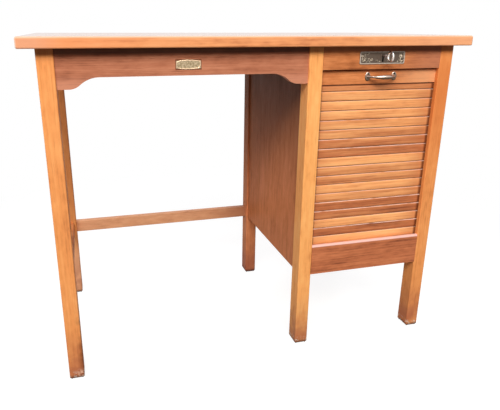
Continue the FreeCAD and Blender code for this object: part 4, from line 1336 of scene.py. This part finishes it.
def oval_ring(centre, first, second):
    """Points on an oval about a centre, from its two half axes."""
    turns = [math.tau * step / ring_points for step in range(ring_points)]
    return [Vector(centre) + first * math.cos(turn) + second * math.sin(turn) for turn in turns]


def skin(form, rings):
    """Joins rings of points in their order, and closes the first and the last one."""
    loops = [[form.verts.new(place) for place in ring] for ring in rings]
    for near, far in zip(loops, loops[1:]):
        for step in range(ring_points):
            form.faces.new((near[step], near[step - 1], far[step - 1], far[step]))
    form.faces.new(loops[0])
    form.faces.new(loops[-1][::-1])


print("each ring has", ring_points, "points")

# %% Sizes of the handle
lead_face = lead_box[0][1]
handle_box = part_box("pull_handle")
screw_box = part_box("handle_screws")
handle_x, foot_z = middle_of(handle_box)[::2]
bar_drop = 0.0006
bar_z = foot_z - bar_drop
screw_z = middle_of(screw_box)[2]
foot_spacing = 0.0665
foot_places = [handle_x + side * foot_spacing / 2 for side in (-1, 1)]
bow_standoff = 0.024
bow_radius = ((foot_spacing / 2) ** 2 + bow_standoff ** 2) / (2 * bow_standoff)
bow_half_turn = math.atan2(foot_spacing / 2, bow_radius - bow_standoff)
bar_middle_radius = 0.0051
bar_neck_radius = 0.0021
bar_root_radius = 0.0043
neck_share = 0.66
bead_radius = 0.0031
bead_share = 0.022
bar_half_rings = 60
foot_half_wide = 0.0066
foot_half_tall = 0.0100
# How far the foot's rings stand out from the slat, and which share of the oval they keep
foot_rings = ((0, 1.0), (0.0012, 1.0), (0.0018, 0.98), (0.0023, 0.93), (0.0026, 0.85))
screw_hole_radius = 0.0021
screw_hole_deep = 0.0016
up = Vector((0, 0, 1))
right = Vector((1, 0, 0))
print("handle", in_millimetres(handle_box), "mm, bowed at a radius of", round(bow_radius, 4), "m")

# %% Draw the handle
def bar_radius(share):
    """Full in the middle, thin at the necks with a bead on each, and wide at the feet."""
    reach = abs(share)
    if reach < neck_share:
        swell = math.cos(quarter_turn * reach / neck_share)
        radius = bar_neck_radius + (bar_middle_radius - bar_neck_radius) * swell
    else:
        flare = ((reach - neck_share) / (1 - neck_share)) ** 2
        radius = bar_neck_radius + (bar_root_radius - bar_neck_radius) * flare
    bead = math.exp(-((reach - neck_share) / bead_share) ** 2)
    return max(radius, bar_neck_radius + (bead_radius - bar_neck_radius) * bead)


def bar_ring(share):
    """A ring round the bowed bar, cut flat where the bar meets the slat."""
    turn = share * bow_half_turn
    out = Vector((math.sin(turn), -math.cos(turn), 0))
    centre = Vector((handle_x, lead_face - bow_standoff + bow_radius, bar_z)) + out * bow_radius
    radius = bar_radius(share)
    ring = oval_ring(centre, out * radius, up * radius)
    return [Vector((place.x, min(place.y, lead_face), place.z)) for place in ring]


handle_form = bmesh.new()
skin(handle_form, [bar_ring(step / bar_half_rings) for step in range(-bar_half_rings, bar_half_rings + 1)])
for foot_x in foot_places:
    rings = [oval_ring((foot_x, lead_face - out, foot_z), right * (foot_half_wide * share),
                       up * (foot_half_tall * share)) for out, share in foot_rings]
    foot_face = lead_face - foot_rings[-1][0]
    for hole_y in (foot_face, foot_face + screw_hole_deep):
        rings.append(oval_ring((foot_x, hole_y, screw_z), right * screw_hole_radius, up * screw_hole_radius))
    skin(handle_form, rings)
handle = new_piece("bowed_handle", handle_form, metal_finishes["handle_nickel"])
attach(handle, "shutter")
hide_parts("pull_handle")
print("handle has", len(handle.data.polygons), "faces")

# %% [markdown]
# ## Slotted screws
# Each foot of the handle is held by one slotted screw. A screw is a head with a slot cut out and a shank, so
# the tree makes one by a Boolean and sets it on the two points, each turned its own way.

# %% A tree for screws
screw_sides = 24
slot_long_share = 3.0


def screw_rod(radius, length, top):
    """A rod that hangs down from a height, measured from the point that it is set on."""
    rod = add_node("GeometryNodeMeshCylinder", {"Vertices": screw_sides, "Radius": radius, "Depth": length})
    inputs = {"Geometry": rod["Mesh"], "Translation": vector_of(0.0, 0.0, top - length / 2)}
    return add_node("GeometryNodeTransform", inputs)[0]


def make_screw_tree():
    given = new_growth("slotted_screws", "Head Radius", "Head Height", "Slot Width", "Shank Radius",
                       "Shank Length")
    head_radius, head_height = given["Head Radius"], given["Head Height"]
    tree = head_radius.tree
    head = screw_rod(head_radius, head_height, 0.0)
    shank = screw_rod(given["Shank Radius"], given["Shank Length"], -head_height)
    slot_size = vector_of(head_radius * slot_long_share, given["Slot Width"], head_height)
    slot = add_node("GeometryNodeMeshCube", {"Size": slot_size})[0]
    slotted = add_node("GeometryNodeMeshBoolean", {"Mesh 1": head, "Mesh 2": slot}, operation="DIFFERENCE")
    whole = tree.nodes.new("GeometryNodeJoinGeometry")
    for part in (shank, slotted["Mesh"]):
        feed(whole.inputs[0], part)
    turns = vector_of(quarter_turn, named_value(tree, "turn"), 0.0)
    screws = set_on_points(given["Geometry"], Value(whole.outputs[0]), turns)
    return close_growth(screws, given["Finish"])


screw_tree = make_screw_tree()

# %% Set the two screws
screw_head_radius = 0.0019
screw_head_height = 0.0016
screw_slot_width = 0.0006
screw_shank_radius = 0.0012
screw_turns = (0.5, -0.3)
screw_points = point_cloud("screw_points", [(foot_x, screw_box[0][1], screw_z) for foot_x in foot_places],
                           turn=screw_turns)
screws = grow("handle_screw_pair", screw_points, screw_tree, head_radius=screw_head_radius,
              head_height=screw_head_height, slot_width=screw_slot_width, shank_radius=screw_shank_radius,
              shank_length=sizes_of(screw_box)[1] - screw_head_height, finish=metal_finishes["screw_steel"])
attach(screws, "shutter")
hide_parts("handle_screws")

# %% [markdown]
# ## Rim of the name plate
# The small brass plate on the apron has a raised rim and a plain field. The rim is the same swept rail as the
# stems, led round the plate's edge.

# %% Lead a rail round the brass plate
name_middle = middle_of(name_box)
name_inset = 0.0010
name_rim_thick = 0.0009
name_rim_step = 0.0006
rim_points_per_side = 8
name_end_share = 0.77
name_half_wide = name_box[1][0] - name_middle[0]
name_half_tall = name_box[1][2] - name_middle[2]
rim_ends = (name_half_wide - name_inset, name_half_tall * name_end_share - name_inset)


def rim_line():
    """A closed line of points round the plate, bowed a little at the top and bottom as the plate is."""
    bow = name_half_tall * (1 - name_end_share)
    around = []
    for side in (1, -1):
        for step in range(rim_points_per_side):
            share = 1 - 2 * step / (rim_points_per_side - 1)
            around.append((name_middle[0] + side * share * rim_ends[0], name_box[0][1],
                           name_middle[2] + side * (rim_ends[1] + bow * (1 - share ** 2))))
    return around + around[:1]


name_rim = grow("name_plate_rim", chain("rim_line", [rim_line()]), rail_tree, thick=name_rim_thick,
                step=name_rim_step, finish=metal_finishes["rim_brass"])
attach(name_rim, "desk")

# %% [markdown]
# ## The view transform
# The Standard view transform shows the colours as they are written.

bpy.context.scene.view_settings.view_transform = "Standard"
